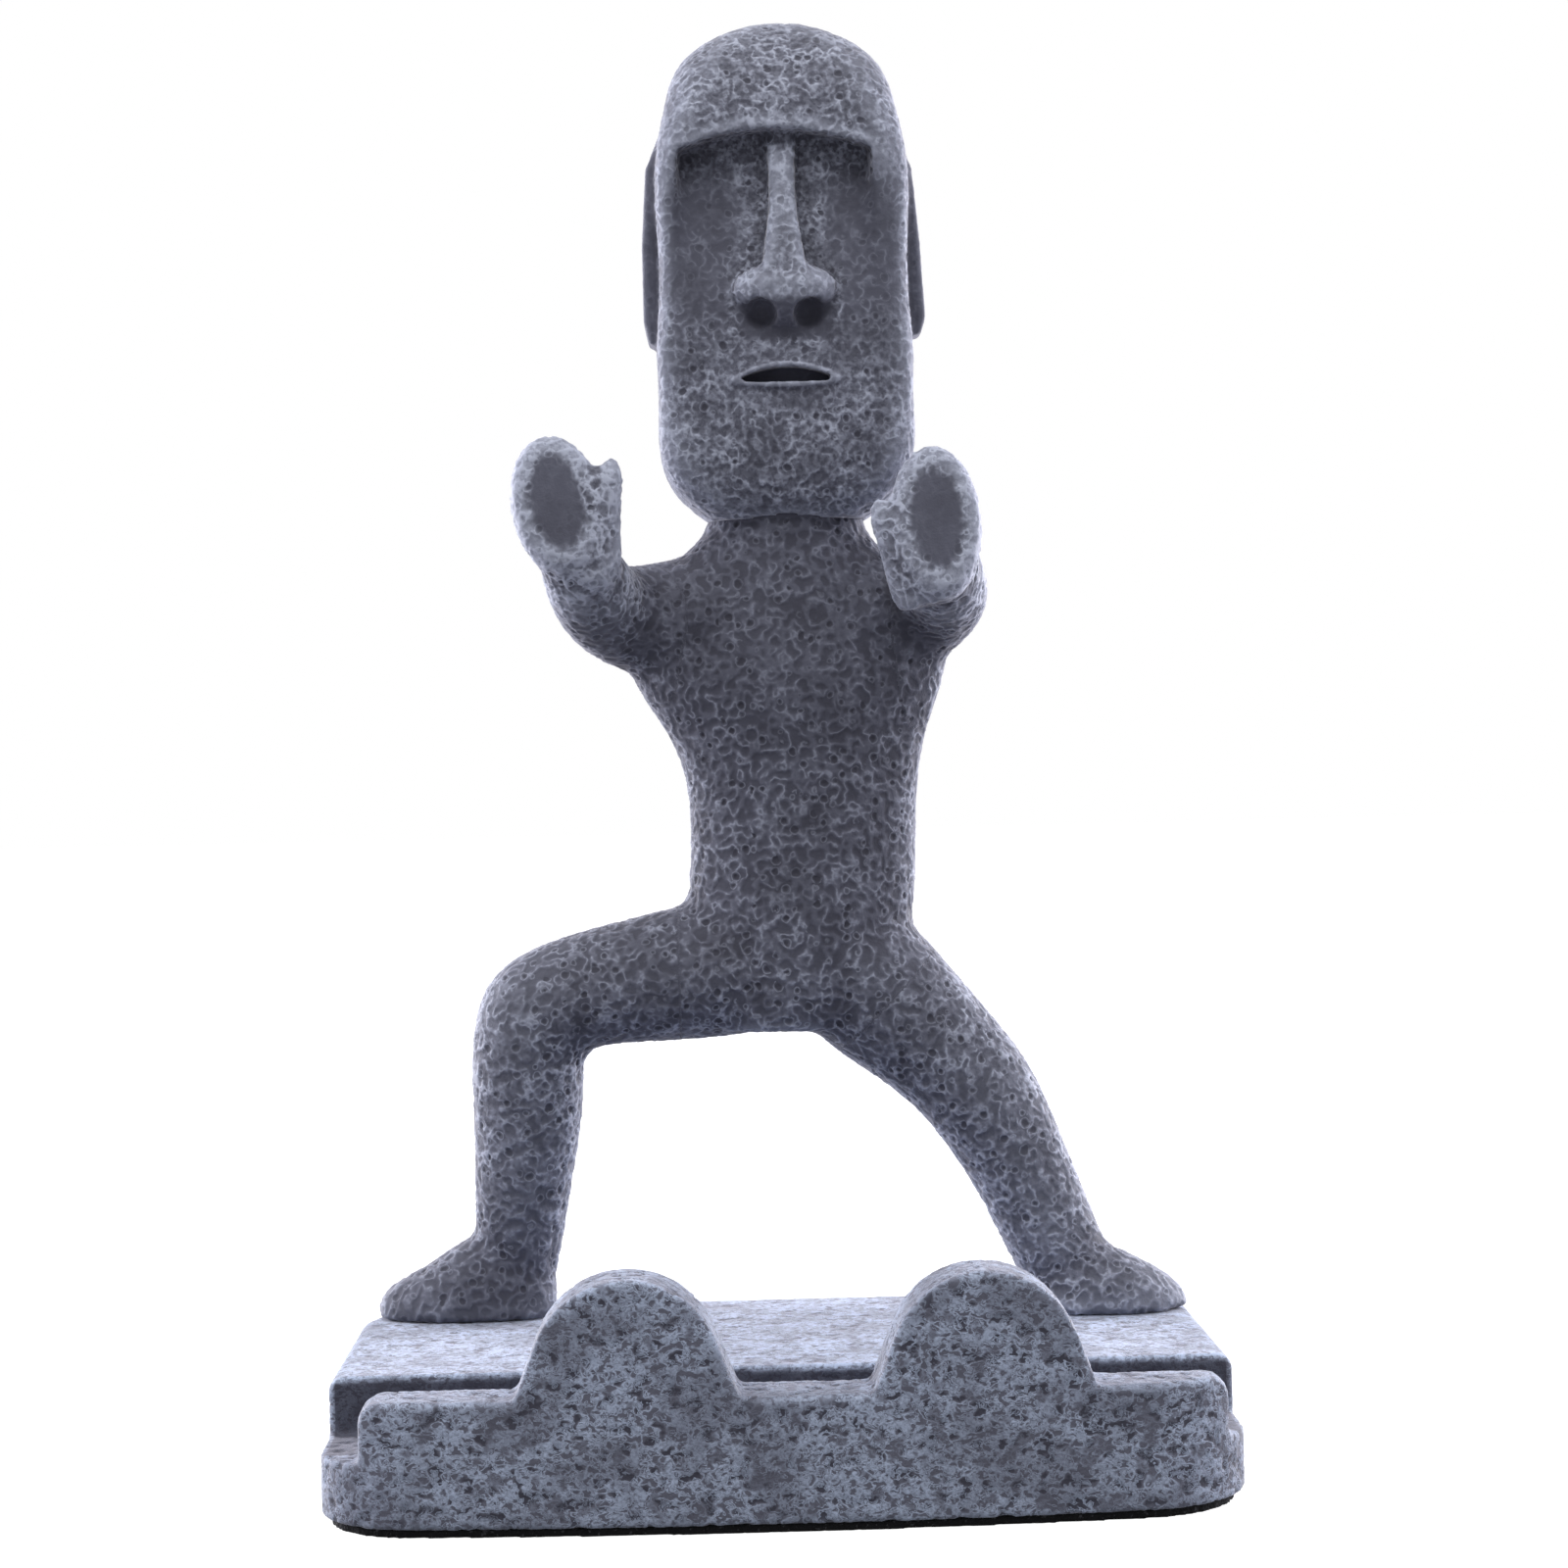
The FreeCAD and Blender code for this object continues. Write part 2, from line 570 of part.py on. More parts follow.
def rounded_section(body, name, height, sides, radii):
    """Level sketch of a rectangle with round corners.

    sides are (value, expression) of the left, right, front and back, and radii those of the front and
    back corners.
    """
    sketch = sketch_on(body, name, "XY_Plane", height)
    (left, _), (right, _), (front, _), (back, _) = sides
    (near, _), (far, _) = radii
    near_cut, far_cut = near * CORNER_CUT, far * CORNER_CUT
    corners = [
        ((left, front + near), (left + near_cut, front + near_cut), (left + near, front)),
        ((right - near, front), (right - near_cut, front + near_cut), (right, front + near)),
        ((right, back - far), (right - far_cut, back - far_cut), (right - far, back)),
        ((left + far, back), (left + far_cut, back - far_cut), (left, back - far)),
    ]
    corners = [[Vector(*point, 0) for point in corner] for corner in corners]
    for index, (start, middle, end) in enumerate(corners):
        sketch.addGeometry(Part.Arc(start, middle, end), False)
        sketch.addGeometry(Part.LineSegment(end, corners[(index + 1) % 4][0]), False)
    for index, direction in enumerate(("Horizontal", "Vertical", "Horizontal", "Vertical")):
        arc, line = 2 * index, 2 * index + 1
        sketch.addConstraint(Sketcher.Constraint("Tangent", arc, 2, line, 1))
        sketch.addConstraint(Sketcher.Constraint("Tangent", line, 2, (arc + 2) % 8, 1))
        sketch.addConstraint(Sketcher.Constraint(direction, line))
    for arc, (value, expression) in zip((0, 2, 4, 6), (radii[0], radii[0], radii[1], radii[1])):
        index = sketch.addConstraint(Sketcher.Constraint("Radius", arc, value))
        sketch.setExpression(f"Constraints[{index}]", expression)
    for line, kind, (value, expression) in (
        (7, "DistanceX", sides[0]),
        (3, "DistanceX", sides[1]),
        (1, "DistanceY", sides[2]),
        (5, "DistanceY", sides[3]),
    ):
        index = sketch.addConstraint(Sketcher.Constraint(kind, -1, 1, line, 1, value))
        sketch.setExpression(f"Constraints[{index}]", expression)
    return sketch


def loft_sections(body, kind, name, sections, ruled=False):
    """Add or cut a loft through a body's sections."""
    loft = body.newObject("PartDesign::" + kind, name)
    loft.Profile = sections[0]
    loft.Sections = [(section, [""]) for section in sections[1:]]
    loft.Ruled = ruled
    body.Document.recompute()
    return loft


def skull(body):
    """The head's main mass, from under the jaw to the dome."""
    sections = []
    for name, _, half, front, back, near, far in HEAD:
        cell = f"Sizes.head_{name}_"
        sides = [(-half, f"-{cell}half"), (half, f"{cell}half")]
        sides += [(front, f"{cell}front"), (back, f"{cell}back")]
        radii = [(near, f"{cell}front_round"), (far, f"{cell}back_round")]
        sections.append(rounded_section(body, "Head" + name.title(), f"{cell}z", sides, radii))
    return loft_sections(body, "AdditiveLoft", "Skull", sections)


def socket_outline(body, name, depth, reach, low):
    """Upright outline of the sunk face at one depth: an arched brow line over a flat lower edge."""
    sketch = sketch_on(body, name, "XZ_Plane", f"-({depth})")
    left, right = -SIZES["cheek_left"] * reach, SIZES["cheek_right"] * reach
    side, top = SIZES["brow_low"], SIZES["brow_low"] + SIZES["brow_rise"]
    floor = SIZES[low]
    crown = Vector((left + right) / 2, top, 0)
    sketch.addGeometry(Part.Arc(Vector(right, side, 0), crown, Vector(left, side, 0)), False)
    sketch.addGeometry(Part.LineSegment(Vector(left, side, 0), Vector(left, floor, 0)), False)
    sketch.addGeometry(Part.LineSegment(Vector(left, floor, 0), Vector(right, floor, 0)), False)
    sketch.addGeometry(Part.LineSegment(Vector(right, floor, 0), Vector(right, side, 0)), False)
    for first, second in ((0, 1), (1, 2), (2, 3), (3, 0)):
        join_points(sketch, first, second)
    left_cell, right_cell = f"-Sizes.cheek_left * {reach}", f"Sizes.cheek_right * {reach}"
    pin_point(sketch, 1, 1, left_cell, "Sizes.brow_low")
    pin_point(sketch, 2, 1, left_cell, f"Sizes.{low}")
    pin_point(sketch, 3, 1, right_cell, f"Sizes.{low}")
    pin_point(sketch, 0, 1, right_cell, "Sizes.brow_low")
    index = sketch.addConstraint(Sketcher.Constraint("Radius", 0, sketch.Geometry[0].Radius))
    half = f"((Sizes.cheek_left + Sizes.cheek_right) * {reach} / 2)"
    sketch.setExpression(f"Constraints[{index}]", f"({half}^2 + Sizes.brow_rise^2) / (2 * Sizes.brow_rise)")
    return sketch


def sink_face(body):
    """Sink the eye sockets and cheeks, deepest under the brow and running out above the mouth."""
    before, behind = "Sizes.face_front - Sizes.socket_depth", "Sizes.face_front + Sizes.socket_depth"
    outer = socket_outline(body, "SocketFront", before, 1.0, "cheek_low")
    inner = socket_outline(body, "SocketBack", behind, SIZES["socket_taper"], "socket_low")
    return loft_sections(body, "SubtractiveLoft", "Sockets", [outer, inner], ruled=True)


def nose_ridge(body):
    """The long straight nose, from between the brows to its bulb."""
    sections = []
    for name, _, half, front in NOSE:
        cell = f"Sizes.nose_{name}_"
        sides = [(-half, f"-{cell}half"), (half, f"{cell}half")]
        sides += [(front, f"{cell}front"), (SIZES["nose_back"], "Sizes.nose_back")]
        radii = [(SIZES["nose_round"], "Sizes.nose_round")] * 2
        sections.append(rounded_section(body, "Nose" + name.title(), f"{cell}z", sides, radii))
    return loft_sections(body, "AdditiveLoft", "Nose", sections)


def ellipsoid(body, kind, name, centre, radii):
    """Add or cut an ellipsoid: centre and radii are x, y, z expressions."""
    ball = body.newObject("PartDesign::" + kind, name)
    ball.AttachmentSupport = [(body_plane(body, "XY_Plane"), "")]
    ball.MapMode = "FlatFace"
    place_at(ball, *centre, prefix="AttachmentOffset")
    bind(ball, Radius1=radii[2], Radius2=radii[0], Radius3=radii[1])
    body.Document.recompute()
    return ball


def nose_wings(body):
    """The broad wings of the nose and the two hollows under them."""
    centre = ("0", "Sizes.face_front", "Sizes.wing_z")
    radii = ("Sizes.wing_half", "Sizes.wing_front", "Sizes.wing_height")
    ellipsoid(body, "AdditiveEllipsoid", "Wings", centre, radii)
    forward, low = "Sizes.face_front - Sizes.nostril_forward", "Sizes.wing_z - Sizes.wing_height"
    for name, side in (("NostrilRight", "-"), ("NostrilLeft", "")):
        radii = ("Sizes.nostril", "Sizes.nostril_long", "Sizes.nostril")
        ellipsoid(body, "SubtractiveEllipsoid", name, (f"{side}Sizes.nostril_apart / 2", forward, low), radii)


def lens_sketch(body, name, grow):
    """Upright outline of the mouth: a flat lower edge under a low arch, grown all round by grow."""
    sketch = sketch_on(body, name, "XZ_Plane", "-(Sizes.face_front + Sizes.mouth_depth)")
    extra = SIZES[grow] if grow else 0.0
    half, corner = SIZES["mouth_half"] + extra, SIZES["mouth_low"] + SIZES["mouth_corner"]
    right, left = Vector(half, corner, 0), Vector(-half, corner, 0)
    arch = Vector(0, SIZES["mouth_low"] + SIZES["mouth_rise"] + extra, 0)
    dip = Vector(0, SIZES["mouth_low"] - extra, 0)
    sketch.addGeometry(Part.Arc(right, arch, left), False)
    sketch.addGeometry(Part.Arc(left, dip, right), False)
    join_points(sketch, 0, 1)
    join_points(sketch, 1, 0)
    grown = f"Sizes.{grow}" if grow else "0"
    pin_point(sketch, 0, 1, f"Sizes.mouth_half + {grown}", "Sizes.mouth_low + Sizes.mouth_corner")
    pin_point(sketch, 1, 1, f"-(Sizes.mouth_half + {grown})", "Sizes.mouth_low + Sizes.mouth_corner")
    rise, sag = f"(Sizes.mouth_rise + {grown} - Sizes.mouth_corner)", f"({grown} + Sizes.mouth_corner)"
    for arc, height in ((0, rise), (1, sag)):
        index = sketch.addConstraint(Sketcher.Constraint("Radius", arc, sketch.Geometry[arc].Radius))
        radius = f"({height}^2 + (Sizes.mouth_half + {grown})^2) / (2 * {height})"
        sketch.setExpression(f"Constraints[{index}]", radius)
    return sketch


def mouth(body):
    """Raised lips round a narrow open mouth."""
    lips = body.newObject("PartDesign::Pad", "Lips")
    lips.Profile = lens_sketch(body, "LipsOutline", "lip_rim")
    bind(lips, Length="Sizes.mouth_depth + Sizes.lip_proud")
    body.Document.recompute()
    slit = body.newObject("PartDesign::Pocket", "MouthSlit")
    slit.Profile = lens_sketch(body, "MouthOutline", "")
    slit.Reversed = True
    bind(slit, Length="Sizes.slit_deep")
    body.Document.recompute()


def ears(body):
    """Long flat ears down both sides of the head."""
    for name, levels in EARS.items():
        side, sign = (1, "") if name.endswith("left") else (-1, "-")
        sections = []
        for level, _, outer, front, back in levels:
            cell = f"Sizes.{name}_{level}_"
            root = (side * SIZES["ear_root"], f"{sign}Sizes.ear_root")
            face = (side * outer, f"{sign}{cell}outer")
            sides = [root, face][::side] + [(front, f"{cell}front"), (back, f"{cell}back")]
            radii = [(SIZES["ear_round"], "Sizes.ear_round")] * 2
            sections.append(rounded_section(body, f"{name}_{level}", f"{cell}z", sides, radii))
        loft_sections(body, "AdditiveLoft", name, sections, ruled=True)


def make_head_body(doc):
    """The long head with its brow, nose, mouth and ears."""
    body = doc.addObject("PartDesign::Body", "HeadForm")
    skull(body)
    sink_face(body)
    nose_ridge(body)
    nose_wings(body)
    mouth(body)
    ears(body)
    place_at(body, "Sizes.head_x", 0, 0)
    return body


# ------------------------------------------------------------------------------------------- figure


def along(tangent, start):
    """Rotation that sets a ring square to a tangent, with its first point towards start."""
    return Rotation(start, Vector(), tangent, "ZXY")


def tangents(points):
    """Direction of a chain of points at each of them."""
    last = len(points) - 1
    return [points[min(index + 1, last)] - points[max(index - 1, 0)] for index in range(last + 1)]


def loft_rings(doc, name, rings):
    """Solid loft through closed rings."""
    loft = doc.addObject("Part::Loft", name)
    loft.Sections = rings
    loft.Solid = True
    return loft


def ellipse_ring(doc, name, wide, deep, rotation, centre):
    """An ellipse whose radii and centre are expressions."""
    ring = doc.addObject("Part::Ellipse", name)
    ring.Placement = Placement(Vector(), rotation)
    bind(ring, MajorRadius=wide, MinorRadius=deep)
    place_at(ring, *centre)
    return ring


def make_trunk(doc):
    """Level ellipses from the crotch up to the neck."""
    rings = []
    for name, *_ in TORSO:
        cell = f"Sizes.torso_{name}_"
        centre = (f"{cell}x", f"{cell}y", f"{cell}z")
        radii = (f"{cell}wide", f"{cell}deep")
        rings.append(ellipse_ring(doc, "Torso" + name.title(), *radii, Rotation(), centre))
    return loft_rings(doc, "Trunk", rings)


def make_limb(doc, limb, start):
    """Round rings square to the limb's own line."""
    points = [Vector(x, y, z) for _, x, y, z, _ in LIMBS[limb]]
    rings = []
    for (name, *_), tangent in zip(LIMBS[limb], tangents(points)):
        cell = f"Sizes.{limb}_{name}_"
        ring = doc.addObject("Part::Circle", f"{limb}_{name}")
        ring.Placement = Placement(Vector(), along(tangent, start))
        bind(ring, Radius=f"{cell}radius")
        place_at(ring, f"{cell}x", f"{cell}y", f"{cell}z")
        rings.append(ring)
    return loft_rings(doc, limb + "_loft", rings)


def make_foot(doc, foot):
    """Upright ellipses from the heel out to the toe, half sunk in the platform so that the sole is flat."""
    rings = []
    for name, *_ in FEET[foot]:
        cell = f"Sizes.{foot}_{name}_"
        turn = Rotation(UP, Vector(), ACROSS, "ZXY")
        centre = (f"{cell}x", f"Sizes.{foot}_y", "Sizes.platform_top")
        rings.append(ellipse_ring(doc, f"{foot}_{name}", f"{cell}tall", f"{cell}wide", turn, centre))
    return loft_rings(doc, foot + "_loft", rings)


def make_hand(doc, hand):
    """A mitten hand: a flat palm on the phone's plane, domed at the back."""
    upright = Rotation(UP, Vector(), BACK, "ZXY")
    turn = Rotation(ACROSS, -SIZES["lean_angle"]) * Rotation(BACK, -HANDS[hand][4]) * upright
    plane_y = "(-Sizes.base_depth / 2 + Sizes.lip_thick + Sizes.slot_width"
    plane_y += f" + (Sizes.{hand}_z - Sizes.platform_top) * tan(Sizes.lean_angle * 1 deg))"
    rings = []
    for name, depth, share in HAND_LAYERS:
        y = f"{plane_y} + {depth} * cos(Sizes.lean_angle * 1 deg)"
        z = f"Sizes.{hand}_z - {depth} * sin(Sizes.lean_angle * 1 deg)"
        wide, long = f"Sizes.{hand}_wide * {share}", f"Sizes.{hand}_long * {share}"
        rings.append(ellipse_ring(doc, f"{hand}_{name}", long, wide, turn, (f"Sizes.{hand}_x", y, z)))
    return loft_rings(doc, hand + "_loft", rings)


def block(doc, name, low, high):
    """A box between two corners."""
    box = doc.addObject("Part::Box", name)
    box.Length, box.Width, box.Height = high.x - low.x, high.y - low.y, high.z - low.z
    box.Placement = Placement(low, Rotation())
    return box


def fuse(doc, name, shapes):
    """Union of several objects."""
    union = doc.addObject("Part::MultiFuse", name)
    union.Shapes = shapes
    union.Refine = False
    return union


def cut(doc, name, base, tool):
    """One object less another."""
    less = doc.addObject("Part::Cut", name)
    less.Base, less.Tool = base, tool
    less.Refine = False
    return less


def common(doc, name, base, tool):
    """What two objects share."""
    shared = doc.addObject("Part::Common", name)
    shared.Base, shared.Tool = base, tool
    shared.Refine = False
    return shared


def make_form(doc):
    """The whole figure below the head, standing on the platform, before it is divided into castings."""
    wide, top = SIZES["base_width"], SIZES["neck_top"] * 2
    above = block(doc, "AbovePlatform", Vector(-wide, -wide, SIZES["platform_top"]), Vector(wide, wide, top))
    solids = [make_trunk(doc)]
    solids += [make_limb(doc, limb, UP if limb.startswith("arm") else BACK) for limb in LIMBS]
    solids += [common(doc, foot + "_stood", make_foot(doc, foot), above) for foot in FEET]
    solids += [make_hand(doc, hand) for hand in HANDS]
    return fuse(doc, "FigureForm", solids)


def limb_space(doc, limb):
    """The space beyond a limb's glue plane."""
    point, out, low, high = GLUE_PLANES[limb]
    reach = SIZES["base_width"]
    turn = Rotation(Vector(*out), Vector(), UP, "XZY")
    low = -reach if low is None else low - point[2]
    high = reach if high is None else high - point[2]
    box = doc.addObject("Part::Box", limb + "_space")
    box.Length, box.Width, box.Height = reach, 2 * reach, high - low
    box.Placement = Placement(Vector(*point) + turn.multVec(Vector(0, -reach, low)), turn)
    return box


# ------------------------------------------------------------------------------------ pins and rods


def make_neck_pin(doc):
    """Straight pin from the chest up into the head."""
    pin = doc.addObject("Part::Cylinder", "neck_pin")
    bind(pin, Radius="Sizes.neck_pin_radius", Height="Sizes.neck_pin_high - Sizes.neck_pin_low")
    place_at(pin, "Sizes.head_x", "Sizes.neck_y", "Sizes.neck_pin_low")
    return pin


def make_arm_pin(doc, limb):
    """Straight pin across a shoulder's glue plane."""
    point, out, _, _ = GLUE_PLANES[limb]
    pin = doc.addObject("Part::Cylinder", limb + "_pin")
    bind(pin, Radius="Sizes.arm_pin_radius", Height="Sizes.arm_pin_length")
    turn = Rotation(UP, Vector(*out))
    pin.Placement = Placement(Vector(*point) - Vector(*out) * (SIZES["arm_pin_length"] / 2), turn)
    return pin


def bent_wire(points, radii):
    """Straight runs joined by tangent arcs."""
    edges, start = [], points[0]
    for before, corner, after, radius in zip(points, points[1:], points[2:], radii):
        arrive, leave = (corner - before).normalize(), (after - corner).normalize()
        half_turn = arrive.getAngle(leave) / 2
        setback = radius * math.tan(half_turn)
        inward = (leave - arrive).normalize()
        centre = corner + inward * (radius / math.cos(half_turn))
        first, last = corner - arrive * setback, corner + leave * setback
        edges.append(Part.LineSegment(start, first).toShape())
        edges.append(Part.Arc(first, centre - inward * radius, last).toShape())
        start = last
    edges.append(Part.LineSegment(start, points[-1]).toShape())
    return Part.Wire(edges)


def make_rod(doc, name):
    """Bent rod from the block up one leg into the pelvis."""
    first_bend, corners, radii = RODS[name]
    x, y, low = SIZES[name + "_x"], SIZES[name + "_y"], SIZES["rod_low"]
    points = [Vector(x, y, low), Vector(x, y, first_bend)] + [Vector(cx, y, cz) for cx, cz in corners]
    line = doc.addObject("Part::Feature", name + "_line")
    line.Shape = bent_wire(points, radii)
    ring = doc.addObject("Part::Circle", name + "_ring")
    bind(ring, Radius="Sizes.rod_radius")
    place_at(ring, f"Sizes.{name}_x", f"Sizes.{name}_y", "Sizes.rod_low")
    rod = doc.addObject("Part::Sweep", name)
    rod.Sections = [ring]
    rod.Spine = line
    rod.Solid = True
    return rod


# ----------------------------------------------------------------------------------------- castings


def make_castings(doc, head, steel):
    """Divide the figure into its castings and bore each for the steel that runs through it."""
    form = make_form(doc)
    spaces = {limb: limb_space(doc, limb) for limb in GLUE_PLANES}
    nodes = []
    for limb, space in spaces.items():
        blank = common(doc, limb + "_blank", form, space)
        core = steel[limb + ("_rod" if limb.startswith("leg") else "_pin")]
        nodes.append(cut(doc, limb, blank, core))
    middle = cut(doc, "TorsoBlank", form, fuse(doc, "LimbSpaces", list(spaces.values())))
    nodes.append(cut(doc, "torso", middle, fuse(doc, "TorsoSteel", list(steel.values()))))
    nodes.append(cut(doc, "head", head, fuse(doc, "HeadSeat", [form, steel["neck_pin"]])))
    return nodes


def check_and_write(doc, nodes):
    """Stop on anything that failed, then write each sub-part to its own file."""
    broken = [thing.Label for thing in doc.Objects if {"Invalid", "Error"} & set(thing.State)]
    if broken:
        raise RuntimeError(f"failed objects: {broken}")
    for node in nodes:
        if node.Shape.isNull() or not node.Shape.isValid():
            raise RuntimeError(f"bad shape: {node.Label}")
        if len(node.Shape.Solids) != 1:
            raise RuntimeError(f"{node.Label} has {len(node.Shape.Solids)} solids")
    os.makedirs("parts", exist_ok=True)
    for node in nodes:
        node.Shape.exportStep(f"parts/{node.Label}.step")
        print(f"{node.Label}: {node.Shape.Volume:.0f} mm3")


def main():
    doc = FreeCAD.newDocument("phone_stand")
    make_sheet(doc, all_cells())
    steel = {"neck_pin": make_neck_pin(doc)}
    steel.update({f"{limb}_pin": make_arm_pin(doc, limb) for limb in ("arm_right", "arm_left")})
    steel.update({name: make_rod(doc, name) for name in RODS})
    head = make_head_body(doc)
    nodes = [make_base_block(doc), make_non_slip_pad(doc)] + list(steel.values())
    nodes += make_castings(doc, head, steel)
    doc.recompute()
    check_and_write(doc, nodes)


main()
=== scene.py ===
"""Looks of a phone stand with a moai-headed figure, cast in stone-finish resin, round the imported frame."""

import json
from math import cos, radians, sin

import bmesh
import bpy
import numpy as np
from mathutils import Matrix, Quaternion, Vector, noise
from mathutils.bvhtree import BVHTree


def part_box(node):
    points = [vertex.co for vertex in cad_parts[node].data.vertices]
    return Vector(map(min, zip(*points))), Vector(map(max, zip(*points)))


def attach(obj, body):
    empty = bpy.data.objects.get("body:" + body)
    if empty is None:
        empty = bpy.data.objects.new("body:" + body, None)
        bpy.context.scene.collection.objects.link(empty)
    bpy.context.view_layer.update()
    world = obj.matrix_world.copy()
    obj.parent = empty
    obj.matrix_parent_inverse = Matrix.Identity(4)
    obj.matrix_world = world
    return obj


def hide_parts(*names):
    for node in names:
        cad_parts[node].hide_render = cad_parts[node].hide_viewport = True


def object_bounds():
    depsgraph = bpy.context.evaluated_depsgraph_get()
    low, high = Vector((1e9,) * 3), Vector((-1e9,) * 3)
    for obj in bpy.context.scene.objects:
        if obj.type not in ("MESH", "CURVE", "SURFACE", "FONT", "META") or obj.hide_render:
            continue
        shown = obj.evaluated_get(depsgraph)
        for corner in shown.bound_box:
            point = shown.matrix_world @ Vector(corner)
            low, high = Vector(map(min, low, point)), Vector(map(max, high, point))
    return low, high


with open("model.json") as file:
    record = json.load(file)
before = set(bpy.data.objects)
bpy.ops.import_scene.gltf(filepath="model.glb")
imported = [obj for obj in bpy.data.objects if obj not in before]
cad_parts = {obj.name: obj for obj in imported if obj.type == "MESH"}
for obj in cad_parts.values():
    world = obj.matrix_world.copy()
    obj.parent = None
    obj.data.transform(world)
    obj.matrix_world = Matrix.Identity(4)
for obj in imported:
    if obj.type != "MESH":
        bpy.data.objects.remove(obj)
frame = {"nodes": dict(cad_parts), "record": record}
nodes = frame["nodes"]
cad_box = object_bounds()

MM = 0.001
UP = Vector((0, 0, 1))

# Torso and limbs are five castings under one carved-looking skin. They were glued where these planes lie: a
# point on the plane, the way out to the limb, and the heights that the joint stays between, in millimetres.
GLUE_PLANES = {
    "leg_right": ((-10.6, 23.0, 50.3), (-1.0, 0.0, 0.0), 10.0, 68.0),
    "leg_left": ((14.5, 23.0, 51.7), (1.0, 0.0, -1.0), None, None),
    "arm_right": ((-13.4, 21.05, 97.7), (-0.8, -0.6, 0.0), 80.0, 125.0),
    "arm_left": ((19.8, 20.95, 97.0), (0.8, -0.6, 0.0), 80.0, 125.0),
}
LIMBS = tuple(GLUE_PLANES)
RODS = ("leg_left_rod", "leg_right_rod")
PINS = ("neck_pin", "arm_left_pin", "arm_right_pin") + RODS
PLATFORM_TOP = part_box("leg_left")[0].z
HEAD_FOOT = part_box("head")[0].z
NECK_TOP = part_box("torso")[1].z
BLOCK_LOW, BLOCK_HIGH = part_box("base_block")

# Half the width of the boxes that stand for a whole side of space, in millimetres.
REACH = 100.0
# How far a face may lie off a glue plane, and the least cosine of its lean, when it is to be shaded flat.
FLAT_GAP = 0.002 * MM
FLAT_COSINE = 0.999

# Widths of the faces that the skins are worked in.
COARSE_GRAIN = 0.6 * MM
FIGURE_GRAIN = 0.3 * MM
BLOCK_GRAIN = 0.4 * MM
FOAM_GRAIN = 0.4 * MM

# The stone: how far apart its ridges lie, how deep its pits are, and the ridges' rise as a share of that.
FIGURE_CELL = 1.5 * MM
BLOCK_CELL = 0.70 * MM
FIGURE_PIT = 0.20 * MM
BLOCK_PIT = 0.14 * MM
RIDGE_RISE = 0.45
NOISE_MIDDLE = 0.5

# Sizes in the paint: its patches, its grain, its dabs, and the relief that is only shaded.
PATCH = 6 * MM
GRAIN = 0.30 * MM
DAB = 0.55 * MM
RELIEF = 0.12 * MM

# How far an edge stands out of the smoothed surface when it counts as fully worn.
FIGURE_EDGE = 0.35 * MM
BLOCK_EDGE = 0.5 * MM

# Foam: its bubbles and how far they break up the cut edge.
FOAM_BUBBLE = 0.7 * MM
FOAM_RAGS = 0.35 * MM

# Regions, in millimetres, apart from PALM_RIM, SIDE_FACING and JOINT_TOUCH, which are shares. A pair says
# where a region's own share begins to change and where it has changed.
PALM_TILTS = {"palm_right": radians(10.0), "palm_left": radians(2.7)}
PALM_HALF = (3.1, 3.0, 6.4)
PALM_RIM = (0.7, 1.15)
HAND_FADE = (9, 18)
CHEST_MIDDLE = 3.2
CHEST_RISE = (76, 98)
CHEST_SIDES = (13, 20)
LEG_TOP = (45, 66)
RIGHT_FOOT_TOP = (15, 32)
SIDE_FACING = (0.35, 0.95)
JOINT_TOUCH = (0.0, 0.5)
HEAD_MIDDLE = 3.7
EAR_FACE = (14.7, 15.3)
EAR_BACK, EAR_BACK_HALF = 21.3, 4.2
EAR_HEIGHT, EAR_HEIGHT_HALF = 143.0, 14.0
FACE_DEPTH = (17, 20)
MOUTH_HEIGHT = 125.5
MOUTH_ENDS = (7, 9)
MOUTH_LIPS = (2.5, 4)
MOUTH_HOLLOW = (13.2, 14.2)
NOSTRIL_HEIGHT = 132.3
NOSTRIL_SIDES = (4.2, 6.2)
NOSTRIL_EDGES = (1.4, 2.8)
NOSE_HALF, NOSE_SPREAD, NOSE_CLEAR = 3.2, 3.0, 7.5
NOSE_BULB = (137, 142)
CHEEK_FOOT = (118, 124)
CHEEK_TOP = (146, 152)
CHEEK_SIDES = (12.5, 14.5)
SOCKET_RISE = (127, 136)
SLOT_BACK, SLOT_DEPTH, SLOT_FLOOR = 21.5, 12.0, 6.5
SLOT_RIM, SLOT_END = 0.4, 0.5
TOP_LEDGE, TOP_SKIN = 1.5, 0.8

# How much light brush there is in plain places, and how much more or less in each region; some regions add
# painted light or painted shade, as said beside them.
BODY_BRUSH = 0.42
# The chest region is painted shade below the chin.
# The sides region is painted light, on surfaces that face the side lamps.
BODY_REGIONS = {"hand": 0.90, "legs": 0.25, "chest": -0.30, "right_foot": -0.45, "sides": 0.40}
PALM_BARE = 0.85
HEAD_BRUSH = 0.95
HEAD_SHADE = 0.75
BLOCK_BRUSH = 0.48
SLOT_SHADE = 0.43
# The platform's top gets painted light.
TOP_PAINTED_LIGHT = 0.90
HAZE = 0.55

# How much shallower the pits are: on the plain head, in its quiet places, and on the platform.
HEAD_CALM = 0.30
FACE_CALM = 0.45
TOP_CALM = 0.6

# Dark hollows and painted shade, mid ground, and light paint and painted light, as seen on a screen.
FIGURE_SHADES = ((0.22, 0.22, 0.265), (0.335, 0.34, 0.395), (0.66, 0.68, 0.75))
BLOCK_SHADES = ((0.24, 0.24, 0.29), (0.36, 0.365, 0.42), (0.70, 0.75, 0.85))

